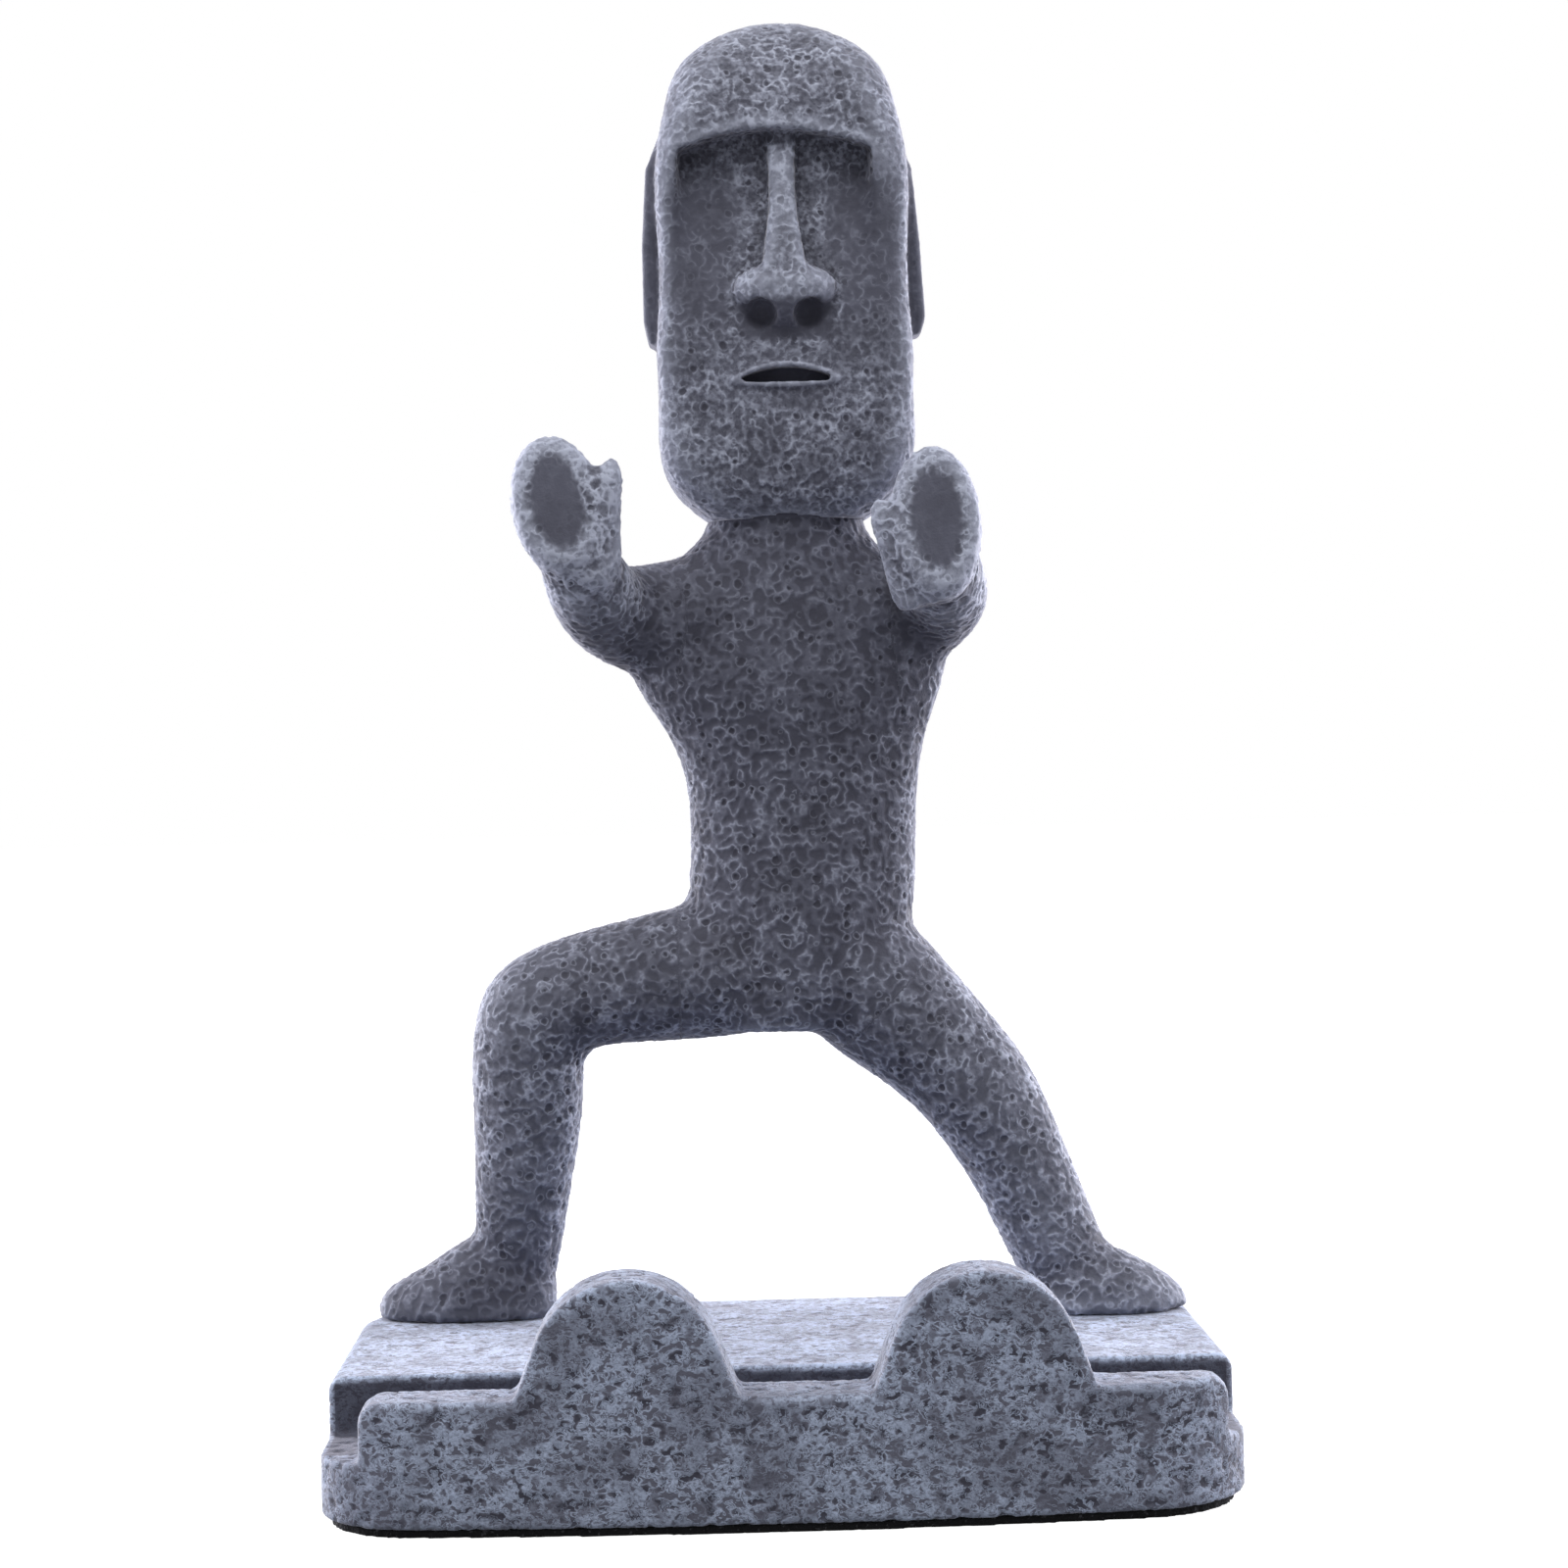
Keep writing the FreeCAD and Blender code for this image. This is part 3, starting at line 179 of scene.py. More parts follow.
# Soft boxes: place and size in metres, power in watts and colour.
WHITE = (1.0, 1.0, 1.0)
LILAC = (0.93, 0.92, 1.0)
SOFT_BOXES = {
    "key": ((-0.08, -0.45, 0.80), (0.5, 0.35), 4.0, WHITE),
    "top": ((0.0, 0.10, 0.8), (0.6, 0.4), 2.0, WHITE),
    "side_left": ((-0.60, 0.16, 0.12), (0.4, 0.5), 3.6, LILAC),
    "rim_left": ((-0.42, 0.46, 0.08), (0.3, 0.3), 4.5, LILAC),
    "side_right": ((0.60, 0.16, 0.12), (0.4, 0.5), 3.6, LILAC),
    "rim_right": ((0.42, 0.46, 0.08), (0.3, 0.3), 4.5, LILAC),
}
SKY_HEIGHTS = (-0.5, 0.8)
SKY_STRENGTHS = (0.10, 0.55)
FLOOR_HALF = 3.0
FLOOR_TONE = (0.25, 0.25, 0.26, 1.0)
FLOOR_GLOW = (0.05, 1.0)

CAMERA_PLACE = (-6.9 * MM, -394 * MM, 82 * MM)
YAW, PITCH, ROLL = radians(1.30), radians(0.60), radians(1.30)
SENSOR, LENS = 36.0, 79.5


# ------------------------------------------------------------------------------------------ meshes as arrays


def rows(items, name, kind=np.float32, width=3):
    """One property of all vertices, edges or faces, one row each."""
    flat = np.empty(width * len(items), kind)
    items.foreach_get(name, flat)
    return flat.reshape(-1, width)


def places(mesh):
    """Where the vertices are, one row each."""
    return rows(mesh.vertices, "co").astype(float)


def put(mesh, where):
    """Moves the vertices to these rows."""
    mesh.vertices.foreach_set("co", where.astype(np.float32).ravel())
    mesh.update()


def directions(mesh):
    """Which way each vertex faces."""
    return rows(mesh.vertex_normals, "vector").astype(float)


def keep_value(mesh, name, values):
    """Stores a number on each vertex, for the materials and the carving."""
    layer = mesh.attributes.get(name) or mesh.attributes.new(name, "FLOAT", "POINT")
    layer.data.foreach_set("value", np.asarray(values, np.float32))


def rise(values, low, high):
    """0 below low, 1 above high and an S between them."""
    share = np.clip((values - low) / (high - low), 0, 1)
    return share * share * (3 - 2 * share)


def fall(values, low, high):
    """1 below low, 0 above high and an S between them."""
    return 1 - rise(values, low, high)


def averager(mesh):
    """A function that gives each vertex the mean of its neighbours' rows."""
    pairs = rows(mesh.edges, "vertices", np.int32, 2)
    start = np.concatenate((pairs[:, 0], pairs[:, 1]))
    end = np.concatenate((pairs[:, 1], pairs[:, 0]))
    total = len(mesh.vertices)
    count = np.maximum(np.bincount(start, minlength=total), 1)[:, None]

    def mean(values):
        sums = [np.bincount(start, values[end, axis], minlength=total) for axis in range(3)]
        return np.stack(sums, 1) / count

    return mean


def soften(mesh, passes, ridge_share, hold=None):
    """Fills the valleys as clay fills a joint, and wears the ridges down by a share of that."""
    mean = averager(mesh)
    where = places(mesh)
    free = 1.0 if hold is None else (1.0 - hold)[:, None]
    for number in range(passes):
        if number % 4 == 0:
            put(mesh, where)
            outward = directions(mesh)
        move = mean(where) - where
        climb = (move * outward).sum(1)
        share = np.where(climb > 0, 1.0, ridge_share)[:, None]
        where += 0.7 * free * share * move
    put(mesh, where)


def roundness(mesh, passes, depth):
    """How far each vertex stands out of the smoothed surface: 1 on edges, -1 in recesses."""
    mean = averager(mesh)
    where = places(mesh)
    smooth = where
    for _ in range(passes):
        smooth = mean(smooth)
    return np.clip(((where - smooth) * directions(mesh)).sum(1) / depth, -1, 1)


# --------------------------------------------------------------------------------------- meshes by modifiers


def modified(mesh, kind, **settings):
    """The mesh after one modifier."""
    carrier = bpy.data.objects.new("carrier", mesh)
    bpy.context.scene.collection.objects.link(carrier)
    step = carrier.modifiers.new("step", kind)
    for name, value in settings.items():
        setattr(step, name, value)
    depsgraph = bpy.context.evaluated_depsgraph_get()
    shaped = bpy.data.meshes.new_from_object(
        carrier.evaluated_get(depsgraph), preserve_all_data_layers=True, depsgraph=depsgraph
    )
    bpy.data.objects.remove(carrier)
    return shaped


def remeshed(mesh, grain):
    """The outer skin as even faces of about this width."""
    return modified(mesh, "REMESH", mode="VOXEL", voxel_size=grain, use_smooth_shade=True)


def carved(mesh, tree):
    """The mesh after a geometry node tree."""
    return modified(mesh, "NODES", node_group=tree)


def combined(mesh, tool, operation):
    """Two closed meshes joined, cut or kept where they overlap."""
    cutter = bpy.data.objects.new("cutter", tool)
    bpy.context.scene.collection.objects.link(cutter)
    result = modified(mesh, "BOOLEAN", operation=operation, solver="MANIFOLD", object=cutter)
    bpy.data.objects.remove(cutter)
    return result


def gathered(*meshes):
    """Several meshes as the shells of one, each shell welded shut."""
    shells = bmesh.new()
    for mesh in meshes:
        shells.from_mesh(mesh)
    bmesh.ops.remove_doubles(shells, verts=shells.verts, dist=0.001 * MM)
    joined = bpy.data.meshes.new("joined")
    shells.to_mesh(joined)
    shells.free()
    return joined


def box_mesh(low, high, place=Matrix()):
    """A box between two corners in millimetres, put in place."""
    shape = bmesh.new()
    bmesh.ops.create_cube(shape, size=1.0)
    for vertex in shape.verts:
        share = vertex.co + Vector((0.5, 0.5, 0.5))
        corner = Vector([low[axis] + share[axis] * (high[axis] - low[axis]) for axis in range(3)])
        vertex.co = (place @ corner) * MM
    mesh = bpy.data.meshes.new("box")
    shape.to_mesh(mesh)
    shape.free()
    return mesh


def above(height):
    """All the space above a height in metres."""
    return box_mesh((-REACH, -REACH, height / MM), (REACH, REACH, 3 * REACH))


def below(height):
    """All the space below a height in metres."""
    return box_mesh((-REACH, -REACH, -REACH), (REACH, REACH, height / MM))


def limb_space(limb):
    """The space beyond a limb's glue plane."""
    point, out, low, high = GLUE_PLANES[limb]
    out = Vector(out).normalized()
    side = UP.cross(out).normalized()
    turn = Matrix((out, side, out.cross(side))).transposed().to_4x4()
    low = -REACH if low is None else low - point[2]
    high = REACH if high is None else high - point[2]
    return box_mesh((0, -REACH, low), (REACH, REACH, high), Matrix.Translation(point) @ turn)


# ---------------------------------------------------------------------------------------------- node helpers


def fill(tree, target, inputs):
    """Wires or sets a node's inputs."""
    for key, value in inputs.items():
        if isinstance(value, bpy.types.NodeSocket):
            tree.links.new(value, target.inputs[key])
        else:
            target.inputs[key].default_value = value


def node(tree, kind, inputs=None, **settings):
    """Adds a node with its settings and inputs."""
    made = tree.nodes.new(kind)
    for name, value in settings.items():
        setattr(made, name, value)
    fill(tree, made, inputs or {})
    return made


def calculate(tree, operation, first, second=0.0, third=0.0, clamp=False):
    """One sum on numbers."""
    values = {0: first, 1: second, 2: third}
    return node(tree, "ShaderNodeMath", values, operation=operation, use_clamp=clamp).outputs[0]


def product(tree, first, *others):
    """Numbers multiplied together."""
    for other in others:
        first = calculate(tree, "MULTIPLY", first, other)
    return first


def scaled_sum(tree, value, scale, more, clamp=False):
    """A number times a scale, and something more."""
    return calculate(tree, "MULTIPLY_ADD", value, scale, more, clamp)


def remainder(tree, share):
    """What a share leaves of 1."""
    return calculate(tree, "SUBTRACT", 1.0, share)


def s_curve(tree, value, low, high, start=0.0, end=1.0):
    """A smooth change from start to end while the value goes from low to high."""
    values = {"Value": value, "From Min": low, "From Max": high, "To Min": start, "To Max": end}
    return node(tree, "ShaderNodeMapRange", values, interpolation_type="SMOOTHSTEP").outputs[0]


def mixed(tree, share, first, second):
    """A colour between two."""
    values = {"Factor": share, 6: first, 7: second}
    return node(tree, "ShaderNodeMix", values, data_type="RGBA").outputs[2]


def stretched(tree, place, scale):
    """The place with each of its numbers scaled."""
    return node(tree, "ShaderNodeVectorMath", {0: place, 1: scale}, operation="MULTIPLY").outputs[0]


def noise_node(tree, place, size, detail=2.0):
    """Soft noise with blobs of about this size in metres."""
    return node(tree, "ShaderNodeTexNoise", {"Vector": place, "Scale": 1 / size, "Detail": detail})


def cloud(tree, place, size, detail=2.0):
    """Soft noise as a number round 0.5."""
    return noise_node(tree, place, size, detail).outputs["Fac"]


def cells(tree, place, size):
    """Voronoi cells of about this size in metres."""
    return node(tree, "ShaderNodeTexVoronoi", {"Vector": place, "Scale": 1 / size})


def shifted(tree, place, size, reach):
    """The place moved about by noise, so that nothing repeats or lies straight."""
    wander = noise_node(tree, place, size).outputs["Color"]
    values = {0: wander, 1: (NOISE_MIDDLE,) * 3}
    centred = node(tree, "ShaderNodeVectorMath", values, operation="SUBTRACT").outputs[0]
    values = {0: centred, 1: (2 * reach,) * 3, 2: place}
    return node(tree, "ShaderNodeVectorMath", values, operation="MULTIPLY_ADD").outputs[0]


def line_at(tree, value, level, half):
    """1 where a value is at a level, falling to 0 at half away from it: a winding line."""
    away = calculate(tree, "ABSOLUTE", calculate(tree, "SUBTRACT", value, level))
    return s_curve(tree, away, 0.0, half, 1.0, 0.0)


def bumped(tree, height, strength, distance):
    """The shading of a relief that is too fine to be carved."""
    values = {"Height": height, "Strength": strength, "Distance": distance}
    return node(tree, "ShaderNodeBump", values).outputs[0]


def number_on(tree, name):
    """A number stored on the vertices, for a material."""
    return node(tree, "ShaderNodeAttribute", attribute_name=name).outputs["Fac"]


# ----------------------------------------------------------------------------------------------- stone skins


def bubble_pits(tree, place, size):
    """Round pits in some of the cells, and their rims, each from 0 to 1."""
    cell = cells(tree, place, size)
    chance = node(tree, "ShaderNodeSeparateXYZ", {0: cell.outputs["Color"]}).outputs[0]
    radius = s_curve(tree, chance, 0.50, 1.0, 0.0, 0.45)
    past = calculate(tree, "SUBTRACT", cell.outputs["Distance"], radius)
    pit = s_curve(tree, past, -0.16, 0.02, 1.0, 0.0)
    has_rim = s_curve(tree, chance, 0.55, 0.75, 0.0, 0.7)
    return pit, product(tree, line_at(tree, past, level=0.07, half=0.10), has_rim)


def lava_skin(tree, place, size):
    """Lava stone: how deep in a hollow and how far on one of the winding ridges, each from 0 to 1."""
    bent = shifted(tree, place, 0.9 * size, 0.20 * size)
    level = cloud(tree, bent, 0.92 * size, detail=0.7)
    breaks = s_curve(tree, cloud(tree, place, size), 0.40, 0.60, 0.15, 1.0)
    ridge = product(tree, line_at(tree, level, NOISE_MIDDLE, half=0.08), breaks)
    hollow = s_curve(tree, line_at(tree, level, NOISE_MIDDLE, half=0.18), 0.75, 0.0, 0.0, 0.55)
    pit, rim = bubble_pits(tree, bent, 0.8 * size)
    ridge = product(tree, calculate(tree, "MAXIMUM", ridge, rim), remainder(tree, pit))
    return calculate(tree, "MAXIMUM", pit, hollow), ridge


def flaked_skin(tree, place, size):
    """Finely broken stone, curled light strokes and flakes on bare ground: its numbers are as lava_skin's."""
    bent = shifted(tree, stretched(tree, place, (0.75, 0.75, 1.0)), 1.2 * size, 0.40 * size)
    broad = cloud(tree, bent, 1.9 * size, detail=1.0)
    fine = cloud(tree, bent, 0.85 * size, detail=1.5)
    crowd = cloud(tree, place, 3 * size)
    broad_stroke = line_at(tree, broad, NOISE_MIDDLE, half=0.055)
    fine_stroke = line_at(tree, fine, NOISE_MIDDLE, half=0.06)
    stroke = calculate(tree, "MAXIMUM", broad_stroke, fine_stroke)
    flake = s_curve(tree, scaled_sum(tree, crowd, 0.25, fine), 0.685, 0.71, 0.0, 0.8)
    shown_here = s_curve(tree, crowd, 0.34, 0.46, 0.25, 1.0)
    ridge = product(tree, calculate(tree, "MAXIMUM", stroke, flake), shown_here)
    return s_curve(tree, broad, 0.44, 0.36), ridge


def carving(name, skin, size, depth):
    """A geometry node tree that cuts the stone's pits, and remembers where the skin was before."""
    tree = bpy.data.node_groups.new(name, "GeometryNodeTree")
    tree.interface.new_socket("Geometry", in_out="INPUT", socket_type="NodeSocketGeometry")
    tree.interface.new_socket("Geometry", in_out="OUTPUT", socket_type="NodeSocketGeometry")
    start = node(tree, "NodeGroupInput").outputs[0]
    place = node(tree, "GeometryNodeInputPosition").outputs[0]
    kept = {"Geometry": start, "Name": "uncut_place", "Value": place}
    store = node(tree, "GeometryNodeStoreNamedAttribute", kept, data_type="FLOAT_VECTOR").outputs[0]
    inside, ridge = skin(tree, place, size)
    calm = node(tree, "GeometryNodeInputNamedAttribute", {"Name": "calm"}, data_type="FLOAT").outputs[0]
    height = calculate(tree, "SUBTRACT", product(tree, ridge, RIDGE_RISE), inside)
    length = product(tree, height, remainder(tree, calm), depth)
    outward = node(tree, "GeometryNodeInputNormal").outputs[0]
    offset = node(tree, "ShaderNodeVectorMath", {0: outward, "Scale": length}, operation="SCALE").outputs[0]
    move = node(tree, "GeometryNodeSetPosition", {"Geometry": store, "Offset": offset}).outputs[0]
    node(tree, "NodeGroupOutput", {0: move})
    return tree


# -------------------------------------------------------------------------------------------------- materials


def new_material(name):
    """A material, its node tree and its shader."""
    material = bpy.data.materials.new(name)
    material.use_nodes = True
    return material, material.node_tree, material.node_tree.nodes["Principled BSDF"]


def colour_of(red, green, blue):
    """A colour as seen on a screen, turned into light."""
    return tuple(((value + 0.055) / 1.055) ** 2.4 for value in (red, green, blue)) + (1.0,)


def ridge_paint(tree, ridge, marks):
    """The light paint that a dry brush leaves on ridges and worn edges, but hardly in recesses, with the
    painted light and shade that the brush share carries.
    """
    strokes = s_curve(tree, marks["patch"], 0.36, 0.60, 0.50, 1.0)
    strokes = product(tree, strokes, s_curve(tree, marks["grain"], 0.36, 0.56, 0.60, 1.0))
    reach = product(tree, marks["quiet"], scaled_sum(tree, marks["brush_and_painted_light"], 0.80, 0.25))
    worn = s_curve(tree, marks["edge"], 0.10, 0.9)
    lit = product(tree, ridge, strokes, reach)
    lit = scaled_sum(tree, product(tree, worn, marks["brush_and_painted_light"]), 0.45, lit)
    return product(tree, lit, remainder(tree, product(tree, marks["sunk"], 0.7)))


def haze_paint(tree, place, inside, marks):
    """The fine light dabs that a fuller brush leaves outside the hollows, following the brush share and its
    painted light and shade.
    """
    dabs = s_curve(tree, cloud(tree, place, DAB, detail=4.0), 0.36, 0.62)
    clumps = s_curve(tree, marks["patch"], 0.34, 0.58, 0.45, 1.0)
    fullness = s_curve(tree, marks["brush_and_painted_light"], 0.40, 1.20, 0.0, HAZE)
    return product(tree, dabs, clumps, fullness, remainder(tree, inside))


def stone(name, skin, size, shades, cover, roughness, bump):
    """Cast resin painted as stone. Cover is the reach of the light paint."""
    material, tree, shader = new_material(name)
    place = node(tree, "ShaderNodeAttribute", attribute_name="uncut_place").outputs["Vector"]
    inside, ridge = skin(tree, place, size)
    marks = {mark: number_on(tree, mark) for mark in ("calm", "edge", "brush_and_painted_light")}
    marks["patch"] = cloud(tree, place, PATCH, detail=3.0)
    marks["grain"] = cloud(tree, place, GRAIN, detail=3.0)
    # Sunk places are darker and take less light paint: partly a dark wash in the hollows, partly painted
    # shade.
    marks["sunk"] = s_curve(tree, marks["edge"], -0.10, -0.8)
    marks["quiet"] = remainder(tree, product(tree, marks["calm"], 0.85))
    haze = haze_paint(tree, place, inside, marks)
    lit = scaled_sum(tree, ridge_paint(tree, ridge, marks), cover, haze, clamp=True)
    low = product(tree, calculate(tree, "MAXIMUM", inside, marks["sunk"]), marks["quiet"])
    low = scaled_sum(tree, s_curve(tree, marks["patch"], 0.6, 0.35), 0.30, low, clamp=True)
    dark, mid, light = (colour_of(*shade) for shade in shades)
    relief = scaled_sum(tree, lit, 0.6, marks["grain"])
    fill(tree, shader, {
        "Base Color": mixed(tree, lit, mixed(tree, low, mid, dark), light),
        "Roughness": s_curve(tree, lit, 0.0, 1.0, roughness, roughness - 0.12),
        "Specular IOR Level": 0.35,
        "Sheen Weight": 0.45,
        "Sheen Roughness": 0.35,
        "Sheen Tint": LILAC + (1.0,),
        "Normal": bumped(tree, relief, bump, RELIEF),
    })
    return material


def foam():
    """Black open foam."""
    material, tree, shader = new_material("black_foam")
    place = node(tree, "ShaderNodeTexCoord").outputs["Object"]
    bubbles = cells(tree, place, 0.35 * MM).outputs["Distance"]
    speck = s_curve(tree, cloud(tree, place, 0.5 * MM), 0.6, 0.7)
    fill(tree, shader, {
        "Base Color": mixed(tree, speck, (0.012, 0.012, 0.014, 1), (0.08, 0.08, 0.09, 1)),
        "Roughness": 0.95,
        "Normal": bumped(tree, bubbles, strength=0.8, distance=0.15 * MM),
    })
    return material


def steel():
    """Drawn steel wire, with fine lines along it."""
    material, tree, shader = new_material("drawn_steel")
    place = node(tree, "ShaderNodeTexCoord").outputs["Object"]
    lines = cloud(tree, stretched(tree, place, (1.0, 1.0, 0.05)), 0.15 * MM, detail=3.0)
    fill(tree, shader, {
        "Base Color": mixed(tree, lines, (0.35, 0.36, 0.37, 1), (0.62, 0.62, 0.63, 1)),
        "Roughness": s_curve(tree, lines, 0.3, 0.7, 0.28, 0.45),
        "Metallic": 1.0,
    })
    return material


# ---------------------------------------------------------------------------------------------------- regions


def millimetres(where):
    """Columns for the places across, back and up, in millimetres."""
    return (where / MM).T


def nearness(mesh, other, reach, low=-np.inf, high=np.inf):
    """1 where a vertex between two heights touches another mesh, falling to 0 at reach."""
    shape = bmesh.new()
    shape.from_mesh(other)
    tree = BVHTree.FromBMesh(shape)
    shape.free()
    where = places(mesh)
    close = np.zeros(len(where))
    for index in np.nonzero((where[:, 2] > low) & (where[:, 2] < high))[0]:
        found = tree.find_nearest(Vector(where[index]), reach)
        if found[0] is not None:
            close[index] = 1.0 - found[3] / reach
    return close


def hand_shares(where):
    """For each vertex: how far it lies on a palm's flat oval, and how near a hand it is."""
    oval = np.zeros(len(where))
    hand = np.zeros(len(where))
    for mount in frame["record"]["mounts"]:
        if mount["name"].startswith("palm"):
            lean = PALM_TILTS[mount["name"]]
            away = (where - np.array(mount["pos_m"])) / MM
            across = away[:, 0] * cos(lean) + away[:, 2] * sin(lean)
            along = away[:, 2] * cos(lean) - away[:, 0] * sin(lean)
            shares = np.stack((across, away[:, 1], along), 1) / PALM_HALF
            oval = np.maximum(oval, fall(np.linalg.norm(shares, axis=1), *PALM_RIM))
            hand = np.maximum(hand, fall(np.linalg.norm(away, axis=1), *HAND_FADE))
    return oval, hand


def body_brush_and_painted_light(skin):
    """How much light brush each vertex of the torso and limbs gets, with painted shade on the chest below the
    chin and painted light on surfaces that face the sides.
    """
    where = places(skin)
    across, _, height = millimetres(where)
    oval, hand = hand_shares(where)
    shares = {
        "hand": hand,
        "legs": fall(height, *LEG_TOP),
        # Painted shade: the chest is darker just below the chin.
        "chest": rise(height, *CHEST_RISE) * fall(np.abs(across - CHEST_MIDDLE), *CHEST_SIDES),
        "right_foot": fall(height, *RIGHT_FOOT_TOP) * (across < 0),
        # Painted light: surfaces facing left or right are lighter, as the side lamps light them.
        "sides": rise(np.abs(directions(skin)[:, 0]), *SIDE_FACING),
    }
    brush_and_painted_light = BODY_BRUSH + sum(BODY_REGIONS[region] * share for region, share in shares.items())
    return brush_and_painted_light * (1 - PALM_BARE * oval)


def ear_share(where):
    """1 on the ears, 0 elsewhere on the head."""
    across, back, height = millimetres(where)
    level = (np.abs(back - EAR_BACK) < EAR_BACK_HALF) & (np.abs(height - EAR_HEIGHT) < EAR_HEIGHT_HALF)
    return rise(np.abs(across - HEAD_MIDDLE), *EAR_FACE) * level


def face_regions(where):
    """Shares of the mouth, of the cheeks and sockets, and of the painted shade under the nose and in the
    mouth's slit, from 0 to 1.
    """
    across, back, height = millimetres(where)
    across = np.abs(across - HEAD_MIDDLE)
    front = fall(back, *FACE_DEPTH)
    mouth = front * fall(across, *MOUTH_ENDS) * fall(np.abs(height - MOUTH_HEIGHT), *MOUTH_LIPS)
    nose_side = NOSE_HALF + NOSE_SPREAD * fall(height, *NOSE_BULB)
    cheeks = front * rise(across, nose_side, NOSE_CLEAR) * fall(across, *CHEEK_SIDES)
    cheeks *= rise(height, *CHEEK_FOOT) * fall(height, *CHEEK_TOP)
    # Painted shade under the nose, then in the deep part of the mouth's slit.
    nose_and_mouth_shade = front * fall(across, *NOSTRIL_SIDES) * fall(np.abs(height - NOSTRIL_HEIGHT), *NOSTRIL_EDGES)
    nose_and_mouth_shade = np.maximum(nose_and_mouth_shade, mouth * rise(back, *MOUTH_HOLLOW))
    return mouth, cheeks, nose_and_mouth_shade


def block_regions(where, facing):
    """Shares of the slot's walls and floor, which get less light paint and painted shade, and of the
    platform's smoother top, which gets painted light.
    """
    slot_back = BLOCK_LOW.y + SLOT_BACK * MM
    slot = (where[:, 2] < PLATFORM_TOP - SLOT_RIM * MM) & (where[:, 2] > SLOT_FLOOR * MM)
    slot &= (where[:, 1] > slot_back - SLOT_DEPTH * MM) & (where[:, 1] < slot_back) & (facing[:, 1] < 0.5)
    slot &= np.abs(where[:, 0]) < BLOCK_HIGH.x - SLOT_END * MM
    top = (where[:, 1] > slot_back - TOP_LEDGE * MM) & (where[:, 2] > PLATFORM_TOP - TOP_SKIN * MM)
    return slot.astype(float), top.astype(float)


# ----------------------------------------------------------------------------------------------------- pieces


def mark_flat_faces(mesh, limbs):
    """Hard edges round the faces that lie in a glue plane or on the platform."""
    normal = rows(mesh.polygons, "normal")
    centre = rows(mesh.polygons, "center")
    flat = np.abs(centre[:, 2] - PLATFORM_TOP) < FLAT_GAP
    for limb in limbs:
        point, out, _, _ = GLUE_PLANES[limb]
        out = np.array(Vector(out).normalized())
        gap = (centre - np.array(point) * MM) @ out
        flat |= (np.abs(gap) < FLAT_GAP) & (np.abs(normal @ out) > FLAT_COSINE)
    loops = rows(mesh.loops, "edge_index", np.int32, 1)[:, 0]
    sides = rows(mesh.polygons, "loop_total", np.int32, 1)[:, 0]
    edges = np.zeros(len(mesh.edges), bool)
    edges[loops[np.repeat(flat, sides)]] = True
    layer = mesh.attributes.get("sharp_edge") or mesh.attributes.new("sharp_edge", "BOOLEAN", "EDGE")
    layer.data.foreach_set("value", edges)


def shown(name, mesh, material, replaced):
    """A finished piece in the scene, standing for its CAD node."""
    piece = bpy.data.objects.new(name, mesh)
    bpy.context.scene.collection.objects.link(piece)
    mesh.materials.clear()
    mesh.materials.append(material)
    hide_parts(replaced)
    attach(piece, "root")
    return piece


def body_skin():
    """Torso and limbs as one modelled lump, blended at the joints and carved all over."""
    inner = [combined(cores[pin], above(PLATFORM_TOP), "INTERSECT") for pin in PINS if pin != "neck_pin"]
    solid = gathered(nodes["torso"].data, *(nodes[limb].data for limb in LIMBS), *inner)
    lump = remeshed(solid, COARSE_GRAIN)
    touching = nearness(lump, nodes["head"].data, reach=1.2 * MM, low=HEAD_FOOT)
    soften(lump, passes=26, ridge_share=0.06, hold=np.sqrt(touching))
    skin = remeshed(lump, FIGURE_GRAIN)
    soften(skin, passes=3, ridge_share=1.0)
    touching = nearness(skin, nodes["head"].data, reach=0.8 * MM, low=HEAD_FOOT)
    oval, _ = hand_shares(places(skin))
    keep_value(skin, "edge", roundness(skin, passes=50, depth=FIGURE_EDGE))
    keep_value(skin, "calm", np.maximum(oval, rise(touching, *JOINT_TOUCH)))
    keep_value(skin, "brush_and_painted_light", body_brush_and_painted_light(skin))
    return carved(skin, carving("figure_pits", lava_skin, FIGURE_CELL, FIGURE_PIT))


def make_body(material):
    """Cuts the body's skin into its castings at the glue planes, with the holes for pins and rods."""
    skin = combined(body_skin(), below(PLATFORM_TOP), "DIFFERENCE")
    for limb in LIMBS:
        piece = combined(skin, limb_space(limb), "INTERSECT")
        skin = combined(skin, limb_space(limb), "DIFFERENCE")
        for pin in PINS:
            piece = combined(piece, cores[pin], "DIFFERENCE")
        mark_flat_faces(piece, [limb])
        shown(limb + "_casting", piece, material, limb)
    for pin in PINS:
        skin = combined(skin, cores[pin], "DIFFERENCE")
    mark_flat_faces(skin, LIMBS)
    shown("torso_casting", skin, material, "torso")


